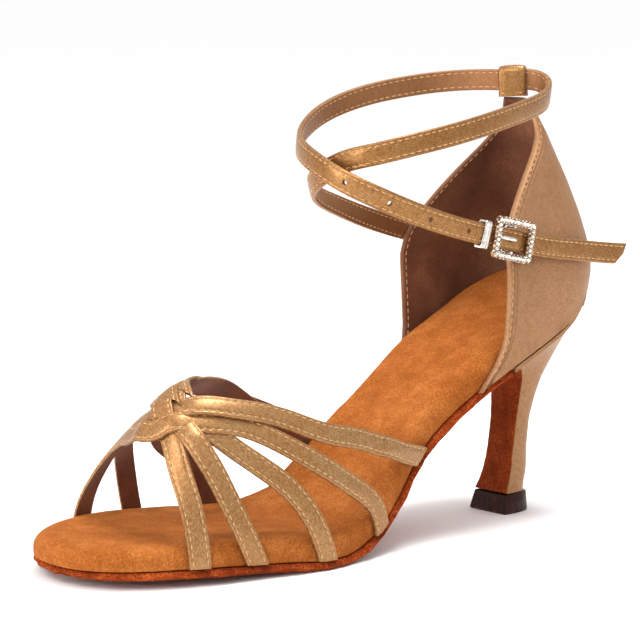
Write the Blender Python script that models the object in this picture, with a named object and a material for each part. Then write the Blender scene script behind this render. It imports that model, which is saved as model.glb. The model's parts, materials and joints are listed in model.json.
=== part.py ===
"""Open-toed ballroom dance shoe for the left foot: woven vamp straps, flared heel, crossed ankle strap.

Metres, +Z up, toe towards -Y, outer side of the foot towards +X. The origin is the middle of the heel tip's
floor face. Lengthwise places are stations, measured forward from the back of the seat.
"""

import bmesh
import bpy
import numpy as np

# Sole and heel
SOLE_LENGTH = 0.216
SEAT_WIDTH = 0.0545
WAIST_WIDTH = 0.046
BALL_WIDTH = 0.074
TOE_WIDTH = 0.069
SEAT_ROUND = 0.027
TOE_ROUND = 0.045
SEAT_HEIGHT = 0.075
TOE_SPRING = 0.003
OUTSOLE_THICKNESS = 0.0028
INSOLE_THICKNESS = 0.0078
INSOLE_EDGE_RADIUS = 0.0048
INSOLE_INSET = 0.0015
TOE_TRIM = 0.0024
TOE_THINNING = 0.20
BREAST_STATION = 0.048
HEEL_TIP_STATION = 0.0280
HEEL_TIP_OUTWARD = 0.0028
HEEL_TIP_THICKNESS = 0.0068
HEEL_STEM_HEIGHT = 0.046
HEEL_STEM_WIDTH = 0.0120
HEEL_BULGE = 0.0028
BREAST_COVER_THICKNESS = 0.0010

# Upper
STRAP_WIDTH = 0.0072
STRAP_THICKNESS = 0.0016
WEAVE_LIFT = 0.0008
INSTEP_HEIGHT = 0.0760
COUNTER_THICKNESS = 0.0020
COUNTER_RISE = 0.0642

# Ankle strap and buckle
ANKLE_STRAP_WIDTH = 0.0072
ANKLE_STRAP_THICKNESS = 0.0018
ANKLE_CENTRE = 0.052
ANKLE_SPAN = 0.100
STRAP_END_SLANT = 0.5
LOOP_WALL = 0.0009
LOOP_WIDTH = 0.0100
LOOP_SLACK = 0.0002
BUCKLE_LENGTH = 0.0180
BUCKLE_HEIGHT = 0.0142
BUCKLE_RAIL = 0.0026
BUCKLE_DEPTH = 0.0024
BAR_WIDTH = 0.0014
PRONG_WIDTH = 0.0014
KEEPER_LENGTH = 0.0030
KEEPER_WALL = 0.0008
BUCKLE_TAB_WIDTH = 0.0068
BUCKLE_TAB_THICKNESS = 0.0012

# Clearance between neighbours, and steps of the faceting
GAP = 0.0003
FRONT_STEPS = 5
HEEL_AROUND = 25

# Share of the sole's length, width there, share of that width on the outer side
OUTLINE = (
    (0.10, SEAT_WIDTH, 0.50),
    (0.22, 0.98 * SEAT_WIDTH, 0.53),
    (0.36, WAIST_WIDTH, 0.54),
    (0.50, 0.785 * BALL_WIDTH, 0.575),
    (0.64, BALL_WIDTH, 0.535),
    (0.78, 0.97 * BALL_WIDTH, 0.497),
    (0.90, TOE_WIDTH, 0.475),
)

# Share of the sole's length, height of the outsole's underside as a share of the seat's height
PROFILE = (
    (0.00, 1.0),
    (0.06, 0.905),
    (0.12, 0.815),
    (0.24, 0.655),
    (0.38, 0.378),
    (0.46, 0.175),
    (0.52, 0.055),
    (0.60, 0.0),
    (0.634, 0.0),
    (0.70, 0.014),
    (0.76, 0.024),
    (0.85, 0.035),
    (0.94, 0.039),
)

# Last over the forefoot: share of the sole's length, ridge height as a share of the instep's,
# ridge's distance outward as a share of the ball's width, roundness of the outer side, of the inner side
LAST = (
    (0.36, 1.000, 0.000, 0.95, 0.70),
    (0.54, 0.905, 0.027, 0.90, 0.50),
    (0.68, 0.825, 0.040, 0.85, 0.35),
    (0.76, 0.775, 0.054, 0.85, 0.25),
    (0.80, 0.722, 0.054, 0.85, 0.25),
    (0.83, 0.660, 0.054, 0.85, 0.22),
    (0.85, 0.580, 0.054, 0.85, 0.20),
    (0.93, 0.350, 0.040, 0.85, 0.20),
)

# Vamp straps, as places on the last: share of the sole's length, share of the way over from the outer side.
# Lift is in weave steps, positive where the strap runs on top.
STRAP_A = (
    (0.756, 0.00, 0),
    (0.790, 0.11, 0),
    (0.808, 0.21, 0.5),
    (0.815, 0.28, 0.5),
    (0.817, 0.37, -0.5),
    (0.805, 0.45, -0.5),
    (0.764, 0.57, 0),
    (0.718, 0.65, 0),
    (0.615, 0.755, 0),
    (0.550, 0.81, 0),
    (0.474, 0.89, 0),
    (0.402, 1.00, 0),
)
STRAP_B = (
    (0.846, 0.00, 0),
    (0.848, 0.09, 0),
    (0.848, 0.17, 0),
    (0.846, 0.26, -0.5),
    (0.837, 0.36, -0.5),
    (0.825, 0.45, 0.5),
    (0.795, 0.54, 0.5),
    (0.735, 0.62, -0.5),
    (0.645, 0.71, -0.5),
    (0.557, 0.81, -0.5),
    (0.487, 0.90, 0),
    (0.432, 1.00, 0),
)
STRAP_C = (
    (0.637, 0.000, 0),
    (0.661, 0.065, 0),
    (0.690, 0.117, 0),
    (0.726, 0.166, -0.5),
    (0.759, 0.220, -1.1),
    (0.789, 0.295, -1.1),
    (0.808, 0.380, -1.1),
    (0.810, 0.480, -1.1),
    (0.797, 0.610, -0.6),
    (0.760, 0.740, 0),
    (0.718, 0.824, 0),
    (0.668, 0.872, 0),
    (0.622, 0.922, 0),
    (0.585, 1.000, 0),
)
STRAP_D = (
    (0.512, 0.000, 0),
    (0.524, 0.040, 0),
    (0.568, 0.094, 0),
    (0.638, 0.158, 0),
    (0.691, 0.212, -0.2),
    (0.741, 0.266, -0.5),
    (0.793, 0.318, -0.5),
    (0.835, 0.400, 0.5),
    (0.850, 0.490, 0.5),
    (0.848, 0.600, 0),
    (0.836, 0.690, 0),
    (0.822, 0.790, 0),
    (0.826, 0.880, 0),
    (0.830, 1.000, 0),
)
STRAP_E = (
    (0.402, 0.000, 0),
    (0.474, 0.101, 0),
    (0.551, 0.172, 0),
    (0.618, 0.211, 0),
    (0.672, 0.256, 0.2),
    (0.710, 0.285, 0.5),
    (0.747, 0.315, 0.5),
    (0.787, 0.367, 0.5),
    (0.815, 0.440, -0.5),
    (0.826, 0.560, -0.5),
    (0.822, 0.690, 0),
    (0.797, 0.800, 0),
    (0.762, 0.890, 0),
    (0.728, 1.000, 0),
)

# Counter, from its lower edge to the top of its tab: share of the rise, back's station and front edge's
# station as shares of the seat's width, half width as a share of the seat's width, front edge's extra reach
# on the outer side, share by which the row has left the line of the sole
COUNTER = (
    (0.00, -0.045, 0.940, 0.520, 0.190, 0.00),
    (0.03, -0.054, 0.905, 0.520, 0.110, 0.12),
    (0.06, -0.063, 0.890, 0.517, 0.055, 0.30),
    (0.10, -0.072, 0.888, 0.510, 0.035, 0.60),
    (0.16, -0.075, 0.895, 0.492, 0.010, 1.00),
    (0.25, -0.055, 0.890, 0.460, 0.0, 1.00),
    (0.33, -0.028, 0.850, 0.430, 0.0, 1.00),
    (0.40, -0.002, 0.800, 0.400, 0.0, 1.00),
    (0.47, 0.030, 0.735, 0.370, 0.0, 1.00),
    (0.54, 0.062, 0.665, 0.338, 0.0, 1.00),
    (0.61, 0.097, 0.590, 0.304, 0.0, 1.00),
    (0.68, 0.135, 0.510, 0.268, 0.0, 1.00),
    (0.75, 0.170, 0.435, 0.228, 0.0, 1.00),
    (0.82, 0.206, 0.380, 0.190, 0.0, 1.00),
    (0.91, 0.272, 0.362, 0.152, 0.0, 1.00),
    (1.00, 0.345, 0.385, 0.134, 0.0, 1.00),
)

# Heel sections: height, front's station past the tip's middle, and depth as shares of the stem's height,
# width as a share of the stem's width
HEEL = (
    (0.000, 0.152, 0.345, 1.500),
    (0.143, 0.115, 0.300, 1.330),
    (0.154, 0.109, 0.262, 1.270),
    (0.326, 0.043, 0.239, 1.080),
    (0.478, 0.015, 0.217, 1.000),
    (0.652, -0.011, 0.210, 1.000),
    (0.826, -0.030, 0.239, 1.090),
    (1.000, -0.043, 0.304, 1.250),
)

# Ankle strap: distance outward, station and height above the seat as shares of the ankle's span, and lean of
# the strap's face, from the inner corner of the counter, round the front, through the loop at the back, round
# the front again and through the buckle
ANKLE_ROUTE = (
    (-0.276, 0.380, 0.190, 0.30),
    (-0.271, 0.440, 0.207, 0.30),
    (-0.266, 0.500, 0.223, 0.26),
    (-0.232, 0.668, 0.268, 0.10),
    (-0.165, 0.880, 0.332, 0.0),
    (-0.060, 1.065, 0.412, 0.0),
    (0.010, 1.089, 0.448, 0.0),
    (0.112, 1.077, 0.497, 0.0),
    (0.210, 1.040, 0.524, 0.0),
    (0.270, 0.948, 0.549, 0.0),
    (0.300, 0.748, 0.586, 0.0),
    (0.272, 0.530, 0.622, 0.0),
    (0.212, 0.325, 0.654, 0.0),
    (0.150, 0.200, 0.685, 0.0),
    (0.105, 0.160, 0.712, 0.0),
    (0.060, 0.155, 0.730, 0.0),
    (0.020, 0.175, 0.736, 0.0),
    (-0.020, 0.203, 0.734, 0.0),
    (-0.070, 0.232, 0.733, 0.0),
    (-0.130, 0.262, 0.732, 0.0),
    (-0.215, 0.325, 0.726, 0.0),
    (-0.268, 0.475, 0.709, 0.0),
    (-0.290, 0.620, 0.686, 0.0),
    (-0.290, 0.780, 0.646, 0.0),
    (-0.245, 0.918, 0.600, 0.0),
    (-0.150, 1.045, 0.548, 0.0),
    (-0.030, 1.115, 0.514, 0.0),
    (0.095, 1.134, 0.471, 0.0),
    (0.178, 1.112, 0.433, 0.0),
    (0.240, 1.070, 0.400, 0.0),
    (0.285, 0.962, 0.349, 0.0),
    (0.305, 0.824, 0.300, 0.0),
    (0.308, 0.668, 0.258, 0.0),
    (0.304, 0.520, 0.226, 0.0),
    (0.302, 0.380, 0.196, 0.0),
    (0.296, 0.204, 0.170, 0.0),
    (0.292, 0.028, 0.148, 0.0),
    (0.294, -0.020, 0.143, 0.0),
)
LOOP_PLACE = 17
BUCKLE_PLACE = 33

# Short strap that holds the buckle: the same four columns, from the side of the counter forward to the bar
BUCKLE_TAB = (
    (0.271, 0.370, 0.193, 0.30),
    (0.268, 0.420, 0.204, 0.30),
    (0.265, 0.470, 0.215, 0.26),
    (0.267, 0.520, 0.226, 0.06),
    (0.266, 0.555, 0.234, 0.0),
)


def smooth_curve(rows, column, at):
    """A curve through a table's rows that doesn't rise or fall between them more than they do."""
    x = np.array([row[0] for row in rows], float)
    y = np.array([row[column] for row in rows], float)
    step = np.diff(x)
    slope = np.diff(y) / step
    tangent = np.empty(len(x))
    tangent[0], tangent[-1] = slope[0], slope[-1]
    before, after = slope[:-1], slope[1:]
    steady = before * after > 0
    first, second = 2 * step[1:] + step[:-1], step[1:] + 2 * step[:-1]
    divisor = np.where(steady, first / np.where(steady, before, 1) + second / np.where(steady, after, 1), 1)
    tangent[1:-1] = np.where(steady, (first + second) / divisor, 0)
    at = np.clip(at, x[0], x[-1])
    i = np.clip(np.searchsorted(x, at, side="right") - 1, 0, len(x) - 2)
    t = (at - x[i]) / step[i]
    rise = y[i] * (1 + 2 * t) * (1 - t) ** 2 + y[i + 1] * t * t * (3 - 2 * t)
    return rise + step[i] * (tangent[i] * t * (1 - t) ** 2 + tangent[i + 1] * t * t * (t - 1))


def spline_through(points, count):
    """Evenly spaced points on the natural cubic spline through hand-placed points."""
    points = np.array(points, float)
    lengths = np.linalg.norm(np.diff(points[:, :3], axis=0), axis=1)
    at = np.concatenate([[0], np.cumsum(lengths)])
    n = len(points)
    matrix, right = np.eye(n), np.zeros((n, points.shape[1]))
    for i in range(1, n - 1):
        matrix[i, i - 1 : i + 2] = lengths[i - 1], 2 * (lengths[i - 1] + lengths[i]), lengths[i]
        rise = (points[i + 1] - points[i]) / lengths[i] - (points[i] - points[i - 1]) / lengths[i - 1]
        right[i] = 6 * rise
    bend = np.linalg.solve(matrix, right)
    where = np.linspace(0, at[-1], count)
    i = np.clip(np.searchsorted(at, where, side="right") - 1, 0, n - 2)
    step, t = lengths[i][:, None], (where - at[i])[:, None]
    slope = (points[i + 1] - points[i]) / step - step * (2 * bend[i] + bend[i + 1]) / 6
    return points[i] + slope * t + bend[i] / 2 * t**2 + (bend[i + 1] - bend[i]) / (6 * step) * t**3


def unit(vectors):
    return vectors / np.maximum(np.linalg.norm(vectors, axis=-1, keepdims=True), 1e-12)


def half_width(station, side):
    """Distance from the middle line to the outsole's edge: side is 1 outward, -1 inward."""
    rows = [(share, width * (part if side > 0 else 1 - part)) for share, width, part in OUTLINE]
    rows = [(0.0, rows[0][1])] + rows + [(1.0, rows[-1][1])]
    width = smooth_curve(rows, 1, station / SOLE_LENGTH)
    seat = np.clip(1 - station / SEAT_ROUND, 0, 1)
    toe = np.clip((station - SOLE_LENGTH + TOE_ROUND) / TOE_ROUND, 0, 1)
    return width * np.sqrt(1 - seat**2) * (1 - toe**2.2) ** (1 / 2.2)


def ground(station):
    """Height of the outsole's underside, and of the heel's seat less the outsole's thickness."""
    rows = [(share, height * SEAT_HEIGHT) for share, height in PROFILE] + [(1.0, TOE_SPRING)]
    return smooth_curve(rows, 1, station / SOLE_LENGTH)


def steepness(station):
    """How much longer the sole's profile is than its plan at a station."""
    d = SOLE_LENGTH / 1000
    slope = (ground(station + d) - ground(station - d)) / (2 * d)
    return np.sqrt(1 + slope**2)


def feather(station):
    """Height of the line where the upper meets the outsole."""
    return ground(station) + OUTSOLE_THICKNESS * steepness(station)


def place(outward, station, height):
    """World coordinates of a place on the shoe."""
    outward, station, height = np.broadcast_arrays(outward, station, height)
    return np.stack([outward - HEEL_TIP_OUTWARD, HEEL_TIP_STATION - station, height], axis=-1)


def sole_outline(start, rungs):
    """Closed plan outline (outward, station) from the back, along the outer edge, round the toe and back."""
    turn = np.linspace(0, np.pi, rungs + 1)
    station = start + (SOLE_LENGTH - start) * (1 - np.cos(turn)) / 2
    if start > 0:
        turn = np.linspace(0, np.pi / 2, rungs + 1)
        station = start + (SOLE_LENGTH - start) * np.sin(turn)
    outer = np.stack([half_width(station, 1), station], axis=-1)
    inner = np.stack([-half_width(station, -1), station], axis=-1)
    if start > 0:
        return np.concatenate([outer, inner[-2::-1]])
    return np.concatenate([outer, inner[-2:0:-1]])


def inset(outline, distance):
    """The outline moved inwards by a distance, square to itself."""
    along = unit(np.roll(outline, -1, axis=0) - np.roll(outline, 1, axis=0))
    inward = np.stack([-along[:, 1], along[:, 0]], axis=-1)
    return outline + inward * np.reshape(distance, (-1, 1))


def toe_share(station):
    """From 0 where the toe's curve begins to 1 at its tip."""
    return np.clip((station - SOLE_LENGTH + TOE_ROUND) / TOE_ROUND, 0, 1)


def add_object(name, vertices, faces, material):
    """A smooth-shaded mesh object whose faces point outwards."""
    mesh = bpy.data.meshes.new(name)
    mesh.from_pydata([tuple(v) for v in vertices], [], faces)
    bm = bmesh.new()
    bm.from_mesh(mesh)
    bmesh.ops.recalc_face_normals(bm, faces=bm.faces)
    bm.to_mesh(mesh)
    bm.free()
    mesh.shade_smooth()
    mesh.set_sharp_from_angle(angle=0.6)
    mesh.materials.append(material)
    obj = bpy.data.objects.new(name, mesh)
    bpy.context.scene.collection.objects.link(obj)
    return obj


def loft(name, rings, material, closed_back=False):
    """Solid through rings of equal length, each end closed by rungs between a ring's outer and inner half."""
    count, around = len(rings), len(rings[0])
    vertices = np.concatenate(rings)
    faces = []
    for k in range(count - 1):
        for i in range(around):
            j = (i + 1) % around
            faces.append((k * around + i, k * around + j, (k + 1) * around + j, (k + 1) * around + i))
    for base in (0, (count - 1) * around):
        low = 0 if closed_back else 1
        pairs = [(i, around - 1 - i if closed_back else around - i) for i in range(low, around // 2 + 1)]
        pairs = [(a, b) for a, b in pairs if a < b]
        if not closed_back:
            faces.append((base, base + pairs[0][0], base + pairs[0][1]))
        for (a, b), (c, d) in zip(pairs, pairs[1:]):
            faces.append((base + a, base + c, base + d, base + b))
        a, b = pairs[-1]
        if b - a == 2:
            faces.append((base + a, base + a + 1, base + b))
    return add_object(name, vertices, faces, material)


def slab(name, outer, inner, material):
    """Solid wall between two grids of points, closed along all four edges."""
    rows, columns = outer.shape[:2]
    size = rows * columns
    vertices = np.concatenate([outer.reshape(-1, 3), inner.reshape(-1, 3)])
    faces = []
    for r in range(rows - 1):
        for c in range(columns - 1):
            a, b = r * columns + c, (r + 1) * columns + c
            faces.append((a, a + 1, b + 1, b))
            faces.append((size + a, size + b, size + b + 1, size + a + 1))
    edge = [r * columns for r in range(rows)]
    edge += [(rows - 1) * columns + c for c in range(1, columns)]
    edge += [r * columns + columns - 1 for r in range(rows - 2, -1, -1)]
    edge += list(range(columns - 2, 0, -1))
    for a, b in zip(edge, edge[1:] + edge[:1]):
        faces.append((a, b, size + b, size + a))
    return add_object(name, vertices, faces, material)


def box(name, low, high, material):
    """A plain block between two corners, in a frame of its own."""
    xs, ys, zs = zip(low, high)
    corners = np.array([(x, y, z) for x in xs for y in ys for z in zs])
    faces = [(0, 1, 3, 2), (4, 6, 7, 5), (0, 4, 5, 1), (2, 3, 7, 6), (0, 2, 6, 4), (1, 5, 7, 3)]
    return add_object(name, corners, faces, material)


def combine(obj, others, operation):
    """Joins helpers to an object, or cuts them out of it, and keeps the helpers out of the model."""
    for other in others:
        modifier = obj.modifiers.new(other.name, "BOOLEAN")
        modifier.operation = operation
        modifier.object = other
        other.hide_render = True
        other.display_type = "WIRE"
    return obj


def material(name, colour, roughness, metallic=0.0):
    made = bpy.data.materials.new(name)
    made.use_nodes = True
    shader = made.node_tree.nodes["Principled BSDF"]
    shader.inputs["Base Color"].default_value = (*colour, 1)
    shader.inputs["Roughness"].default_value = roughness
    shader.inputs["Metallic"].default_value = metallic
    made.diffuse_color = (*colour, 1)
    return made


def make_outsole(suede):
    """Flat suede sole from the breast of the heel to the toe."""
    outline = sole_outline(BREAST_STATION, 34)
    outline = inset(outline, TOE_TRIM * toe_share(outline[:, 1]) ** 2)
    rings = []
    for share in (0, 1):
        rise = share * (OUTSOLE_THICKNESS - GAP) * steepness(outline[:, 1])
        rings.append(place(outline[:, 0], outline[:, 1], ground(outline[:, 1]) + rise))
    return loft("outsole", rings, suede, closed_back=True)


def make_insole(suede):
    """Padded footbed whose upper edge is rounded all the way round."""
    outline = sole_outline(0, 44)
    lift = INSOLE_THICKNESS - INSOLE_EDGE_RADIUS
    steps = [(0, 0), (0, lift * 0.5)]
    for turn in np.linspace(0, np.pi / 2, 5):
        steps.append((INSOLE_EDGE_RADIUS * (1 - np.cos(turn)), lift + INSOLE_EDGE_RADIUS * np.sin(turn)))
    rings = []
    for inward, rise in steps:
        ring = inset(outline, INSOLE_INSET + inward)
        padding = rise * steepness(ring[:, 1]) * (1 - TOE_THINNING * toe_share(ring[:, 1]))
        rings.append(place(ring[:, 0], ring[:, 1], feather(ring[:, 1]) + padding))
    return loft("insole", rings, suede)


def stem_section(row, around):
    """D-shaped heel section, straight across the front. Columns outward, station, height."""
    height, front, depth, width = row
    centre = HEEL_TIP_OUTWARD
    front_station = HEEL_TIP_STATION + front * HEEL_STEM_HEIGHT
    turn = np.linspace(0, np.pi, around)
    swing = np.sign(np.cos(turn)) * np.abs(np.cos(turn)) ** 0.8
    outward = centre + width * HEEL_STEM_WIDTH / 2 * swing
    station = front_station - depth * HEEL_STEM_HEIGHT * np.sin(turn) ** 0.8
    across = np.linspace(-1, 1, FRONT_STEPS + 2)[1:-1]
    front_outward = centre + width * HEEL_STEM_WIDTH / 2 * across
    front_row = np.stack([front_outward, np.full(len(across), front_station)], axis=-1)
    ring = np.concatenate([np.stack([outward, station], axis=-1), front_row])
    return np.column_stack([ring, np.full(len(ring), height * HEEL_STEM_HEIGHT)])


def seat_section():
    """Outline of the heel where it carries the seat. Columns outward, station."""
    overhang = COUNTER_THICKNESS + GAP - INSOLE_INSET
    bulge = HEEL_BULGE - overhang
    turn = np.linspace(0, np.pi, HEEL_AROUND)
    front = BREAST_STATION - 2 * GAP
    station = front - front * np.sin(turn) ** 0.8
    side = np.where(turn < np.pi / 2, 1, -1)
    width = np.where(side > 0, half_width(station, 1), half_width(station, -1))
    grow = overhang * np.minimum(1, width / (4 * overhang))
    outward = side * (width + grow)
    station = station - (overhang + bulge) * np.sin(turn) ** 4
    across = np.linspace(outward[-1], outward[0], FRONT_STEPS + 2)[1:-1]
    front_row = np.stack([across, np.full(len(across), front)], axis=-1)
    return np.concatenate([np.stack([outward, station], axis=-1), front_row])


def heel_rings():
    """Sections of the heel from the top of its tip to the seat, flaring out of the stem."""
    rings = [stem_section(row, HEEL_AROUND) for row in HEEL[2:]]
    stem, seat = rings[-1], seat_section()
    depth = np.clip(seat[:, 1], 0, BREAST_STATION) / BREAST_STATION
    forward = depth**2
    top = feather(seat[:, 1]) - GAP
    under = (1 - forward) * (top - OUTSOLE_THICKNESS / 2) + forward * (
        ground(seat[:, 1]) + BREAST_COVER_THICKNESS + GAP
    )
    for t in (0.12, 0.25, 0.4, 0.55, 0.7, 0.85, 1.0):
        spread = t ** (1 + forward)
        rise = 1 - (1 - t) ** (1 + 1.2 * forward)
        plan = stem[:, :2] + (seat - stem[:, :2]) * spread[:, None]
        rings.append(np.column_stack([plan, stem[:, 2] + (under - stem[:, 2]) * rise]))
    rings.append(np.column_stack([seat, top]))
    return rings


def make_heel(satin):
    """Slim block that flares out under the seat."""
    rings = [place(ring[:, 0], ring[:, 1], ring[:, 2]) for ring in heel_rings()]
    return loft_d("heel", rings, satin)


def loft_d(name, rings, material):
    """Loft of D-shaped rings, each end closed by rungs from side to side."""
    count, around = len(rings), len(rings[0])
    vertices = np.concatenate(rings)
    faces = []
    for k in range(count - 1):
        for i in range(around):
            j = (i + 1) % around
            faces.append((k * around + i, k * around + j, (k + 1) * around + j, (k + 1) * around + i))
    last = HEEL_AROUND - 1
    for base in (0, (count - 1) * around):
        front = [0, 1, last - 1, *range(last, around)]
        faces.append([base + i for i in front])
        for i in range(1, last // 2 - 1):
            faces.append([base + i, base + i + 1, base + last - i - 1, base + last - i])
        back = last // 2
        faces.append([base + back - 1, base + back, base + back + 1])
    return add_object(name, vertices, faces, material)


def make_heel_tip(plastic):
    """Hard top piece, flat on the floor."""
    low, high = stem_section(HEEL[0], HEEL_AROUND), stem_section(HEEL[1], HEEL_AROUND)
    high[:, 2] = HEEL_TIP_THICKNESS
    rings = [place(ring[:, 0], ring[:, 1], ring[:, 2]) for ring in (low, high)]
    return loft_d("heel_tip", rings, plastic)


def make_breast_cover(suede):
    """Suede flap over the front of the heel, from its tip up to the end of the outsole."""
    front = [HEEL_AROUND - 1, *range(HEEL_AROUND, HEEL_AROUND + FRONT_STEPS), 0]
    rows = np.array([ring[front] for ring in heel_rings()[:-1]])
    grid = place(rows[..., 0], rows[..., 1], rows[..., 2])
    along = np.gradient(grid, axis=0)
    across = np.gradient(grid, axis=1)
    normal = unit(np.cross(along, across))
    normal *= -np.sign(normal[:1, :1, 1:2])
    inner = grid + normal * GAP
    outer = grid + normal * (GAP + BREAST_COVER_THICKNESS)
    limit = HEEL_TIP_STATION - BREAST_STATION + GAP
    outer[..., 1] = np.maximum(outer[..., 1], limit)
    inner[..., 1] = np.maximum(inner[..., 1], limit)
    return slab("heel_breast_cover", outer, inner, suede)


def last_point(station, over):
    """Place on the last at a station: over runs from 0 at the outer edge to 1 at the inner edge."""
    share = station / SOLE_LENGTH
    outer = over < 0.5
    clearance = GAP + STRAP_THICKNESS / 2 - INSOLE_INSET
    edge = np.where(outer, half_width(station, 1), -half_width(station, -1))
    edge = edge + np.where(outer, clearance, -clearance)
    ridge = smooth_curve(LAST, 2, share) * BALL_WIDTH
    top = smooth_curve(LAST, 1, share) * INSTEP_HEIGHT
    round_side = np.where(outer, smooth_curve(LAST, 3, share), smooth_curve(LAST, 4, share))
    swing = np.abs(np.cos(np.pi * over))
    outward = ridge + (edge - ridge) * swing * (round_side + (1 - round_side) * swing**1.6)
    base = feather(station) + GAP
    return place(outward, station, base + (top - base) * np.sin(np.pi * over) ** 0.95)


def strap_grid(rows, count, columns):
    """Middle surface and normals of a strap on the last, cut along the edge of the sole at both ends."""
    table = np.array([(share * SOLE_LENGTH, over, lift) for share, over, lift in rows])
    points = last_point(table[:, 0], table[:, 1])
    route = spline_through(np.column_stack([points, table[:, :2]]), count)
    station, over = route[:, 3], np.clip(route[:, 4], 0, 1)
    d = 1e-4
    along_station = (last_point(station + d, over) - last_point(station - d, over)) / (2 * d)
    low, high = np.clip(over - d, 0, 1), np.clip(over + d, 0, 1)
    along_over = (last_point(station, high) - last_point(station, low)) / (high - low)[:, None]
    centre = last_point(station, over)
    along = unit(np.gradient(centre, axis=0))
    normal = unit(np.cross(along_over, along_station))
    square = unit(np.cross(normal, along))
    edgewise = unit(along_station)
    edgewise *= np.sign((edgewise * square).sum(axis=1, keepdims=True))
    distance = np.concatenate([[0], np.cumsum(np.linalg.norm(np.diff(centre, axis=0), axis=1))])
    to_end = np.minimum(distance, distance[-1] - distance)
    slant = np.clip(1 - to_end / STRAP_WIDTH, 0, 1)[:, None]
    rung = unit(square * (1 - slant) + edgewise * slant)
    reach = STRAP_WIDTH / 2 / (rung * square).sum(axis=1)
    a = (along_station**2).sum(axis=1)
    b = (along_station * along_over).sum(axis=1)
    c = (along_over**2).sum(axis=1)
    p = (rung * along_station).sum(axis=1) * reach
    q = (rung * along_over).sum(axis=1) * reach
    step_station = (c * p - b * q) / (a * c - b * b)
    step_over = (a * q - b * p) / (a * c - b * b)
    across = np.linspace(-1, 1, columns)
    stations = station[:, None] + step_station[:, None] * across
    overs = np.clip(over[:, None] + step_over[:, None] * across, 0, 1)
    places = np.concatenate([[0], np.cumsum(np.linalg.norm(np.diff(points, axis=0), axis=1))])
    lift_rows = list(zip(places / places[-1], table[:, 2]))
    lift = smooth_curve(lift_rows, 1, distance / distance[-1]) * WEAVE_LIFT
    return last_point(stations, overs), normal[:, None, :], lift[:, None, None]


def make_vamp(satin):
    """Five straps over the forefoot, woven two over two with the fifth beneath, as one solid."""
    straps = []
    for name, rows in zip("abcde", (STRAP_A, STRAP_B, STRAP_C, STRAP_D, STRAP_E)):
        middle, normal, lift = strap_grid(rows, 41, 3)
        outer = middle + normal * (lift + STRAP_THICKNESS / 2)
        inner = middle + normal * (lift - STRAP_THICKNESS / 2)
        straps.append(slab("strap_" + name, outer, inner, satin))
    vamp = combine(straps[0], straps[1:], "UNION")
    vamp.name = "vamp"
    return vamp


def counter_surface(row_shares, columns, outset):
    """Grid of the counter's wall: rows go up it, columns from the inner front edge round to the outer."""
    turn = np.linspace(-1, 1, columns)
    grid = []
    for share in row_shares:
        back, front, half, reach, free = (smooth_curve(COUNTER, k, share) for k in range(1, 6))
        back, half = back * SEAT_WIDTH, half * SEAT_WIDTH
        outer_side = turn > 0
        front = (front + np.where(outer_side, reach, 0)) * SEAT_WIDTH
        depth = (front - back) * (1 - np.cos(np.abs(turn) * np.pi / 2))
        station = back + depth
        rounding = np.minimum(SEAT_ROUND, half)
        free_width = half * np.sqrt(1 - np.clip(1 - depth / rounding, 0, 1) ** 2)
        seat = np.clip(station, 0.01 * SOLE_LENGTH, SOLE_LENGTH)
        flat = 1 - np.clip(1 - depth / SEAT_ROUND, 0, 1) ** 2
        clear = COUNTER_THICKNESS / 2 + GAP - INSOLE_INSET
        plain = [smooth_width(seat, side) + clear for side in (1, -1)]
        sole_width = np.where(outer_side, plain[0], plain[1]) * np.sqrt(flat)
        width = (1 - free) * sole_width + free * free_width
        height = (1 - free) * feather(np.maximum(station, 0)) + free * feather(0.0)
        height = height + share * COUNTER_RISE * (1 + 0 * turn)
        grid.append(np.stack([np.sign(turn) * width, station, height], axis=-1))
    grid = np.array(grid)
    middle = place(grid[..., 0], grid[..., 1], grid[..., 2] + GAP)
    normal = np.cross(np.gradient(middle, axis=1), np.gradient(middle, axis=0))
    normal[..., 2] = 0
    return middle + unit(normal) * outset


def smooth_width(station, side):
    """Half width of the sole with its round seat left out."""
    rows = [(share, width * (part if side > 0 else 1 - part)) for share, width, part in OUTLINE]
    return smooth_curve([(0.0, rows[0][1])] + rows, 1, station / SOLE_LENGTH)


def make_counter(satin):
    """Hollow heel cup of satin over a stiffener, with a tab at the back for the ankle strap."""
    shares = [row[0] for row in COUNTER]
    outer = counter_surface(shares, 37, COUNTER_THICKNESS / 2)
    inner = counter_surface(shares, 37, -COUNTER_THICKNESS / 2)
    return slab("counter", outer, inner, satin)


def strap_route(rows, count):
    """Centre line of a strap round the ankle, its direction, its outward normal and its width's direction."""
    centre = spline_through(np.array(rows) * (ANKLE_SPAN, ANKLE_SPAN, ANKLE_SPAN, 1), count)
    world = place(centre[:, 0], centre[:, 1], SEAT_HEIGHT + centre[:, 2])
    along = unit(np.gradient(world, axis=0))
    away = unit(np.stack([centre[:, 0], -0.7 * (centre[:, 1] - ANKLE_CENTRE), 0 * centre[:, 0]], axis=-1))
    away[:, 2] = centre[:, 3]
    normal = unit(away - along * (away * along).sum(axis=1, keepdims=True))
    up = unit(np.cross(along, normal))
    up *= np.sign(up[:, 2:3])
    return world, along, normal, up


def frame_at(index):
    """Centre and directions of the ankle strap at one of its hand-placed points."""
    world, along, normal, up = strap_route(ANKLE_ROUTE, 400)
    outward, station, height = np.array(ANKLE_ROUTE[index][:3]) * ANKLE_SPAN
    spot = place(outward, station, SEAT_HEIGHT + height)
    nearest = np.linalg.norm(world - spot, axis=1).argmin()
    return world[nearest], along[nearest], normal[nearest], up[nearest]


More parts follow.
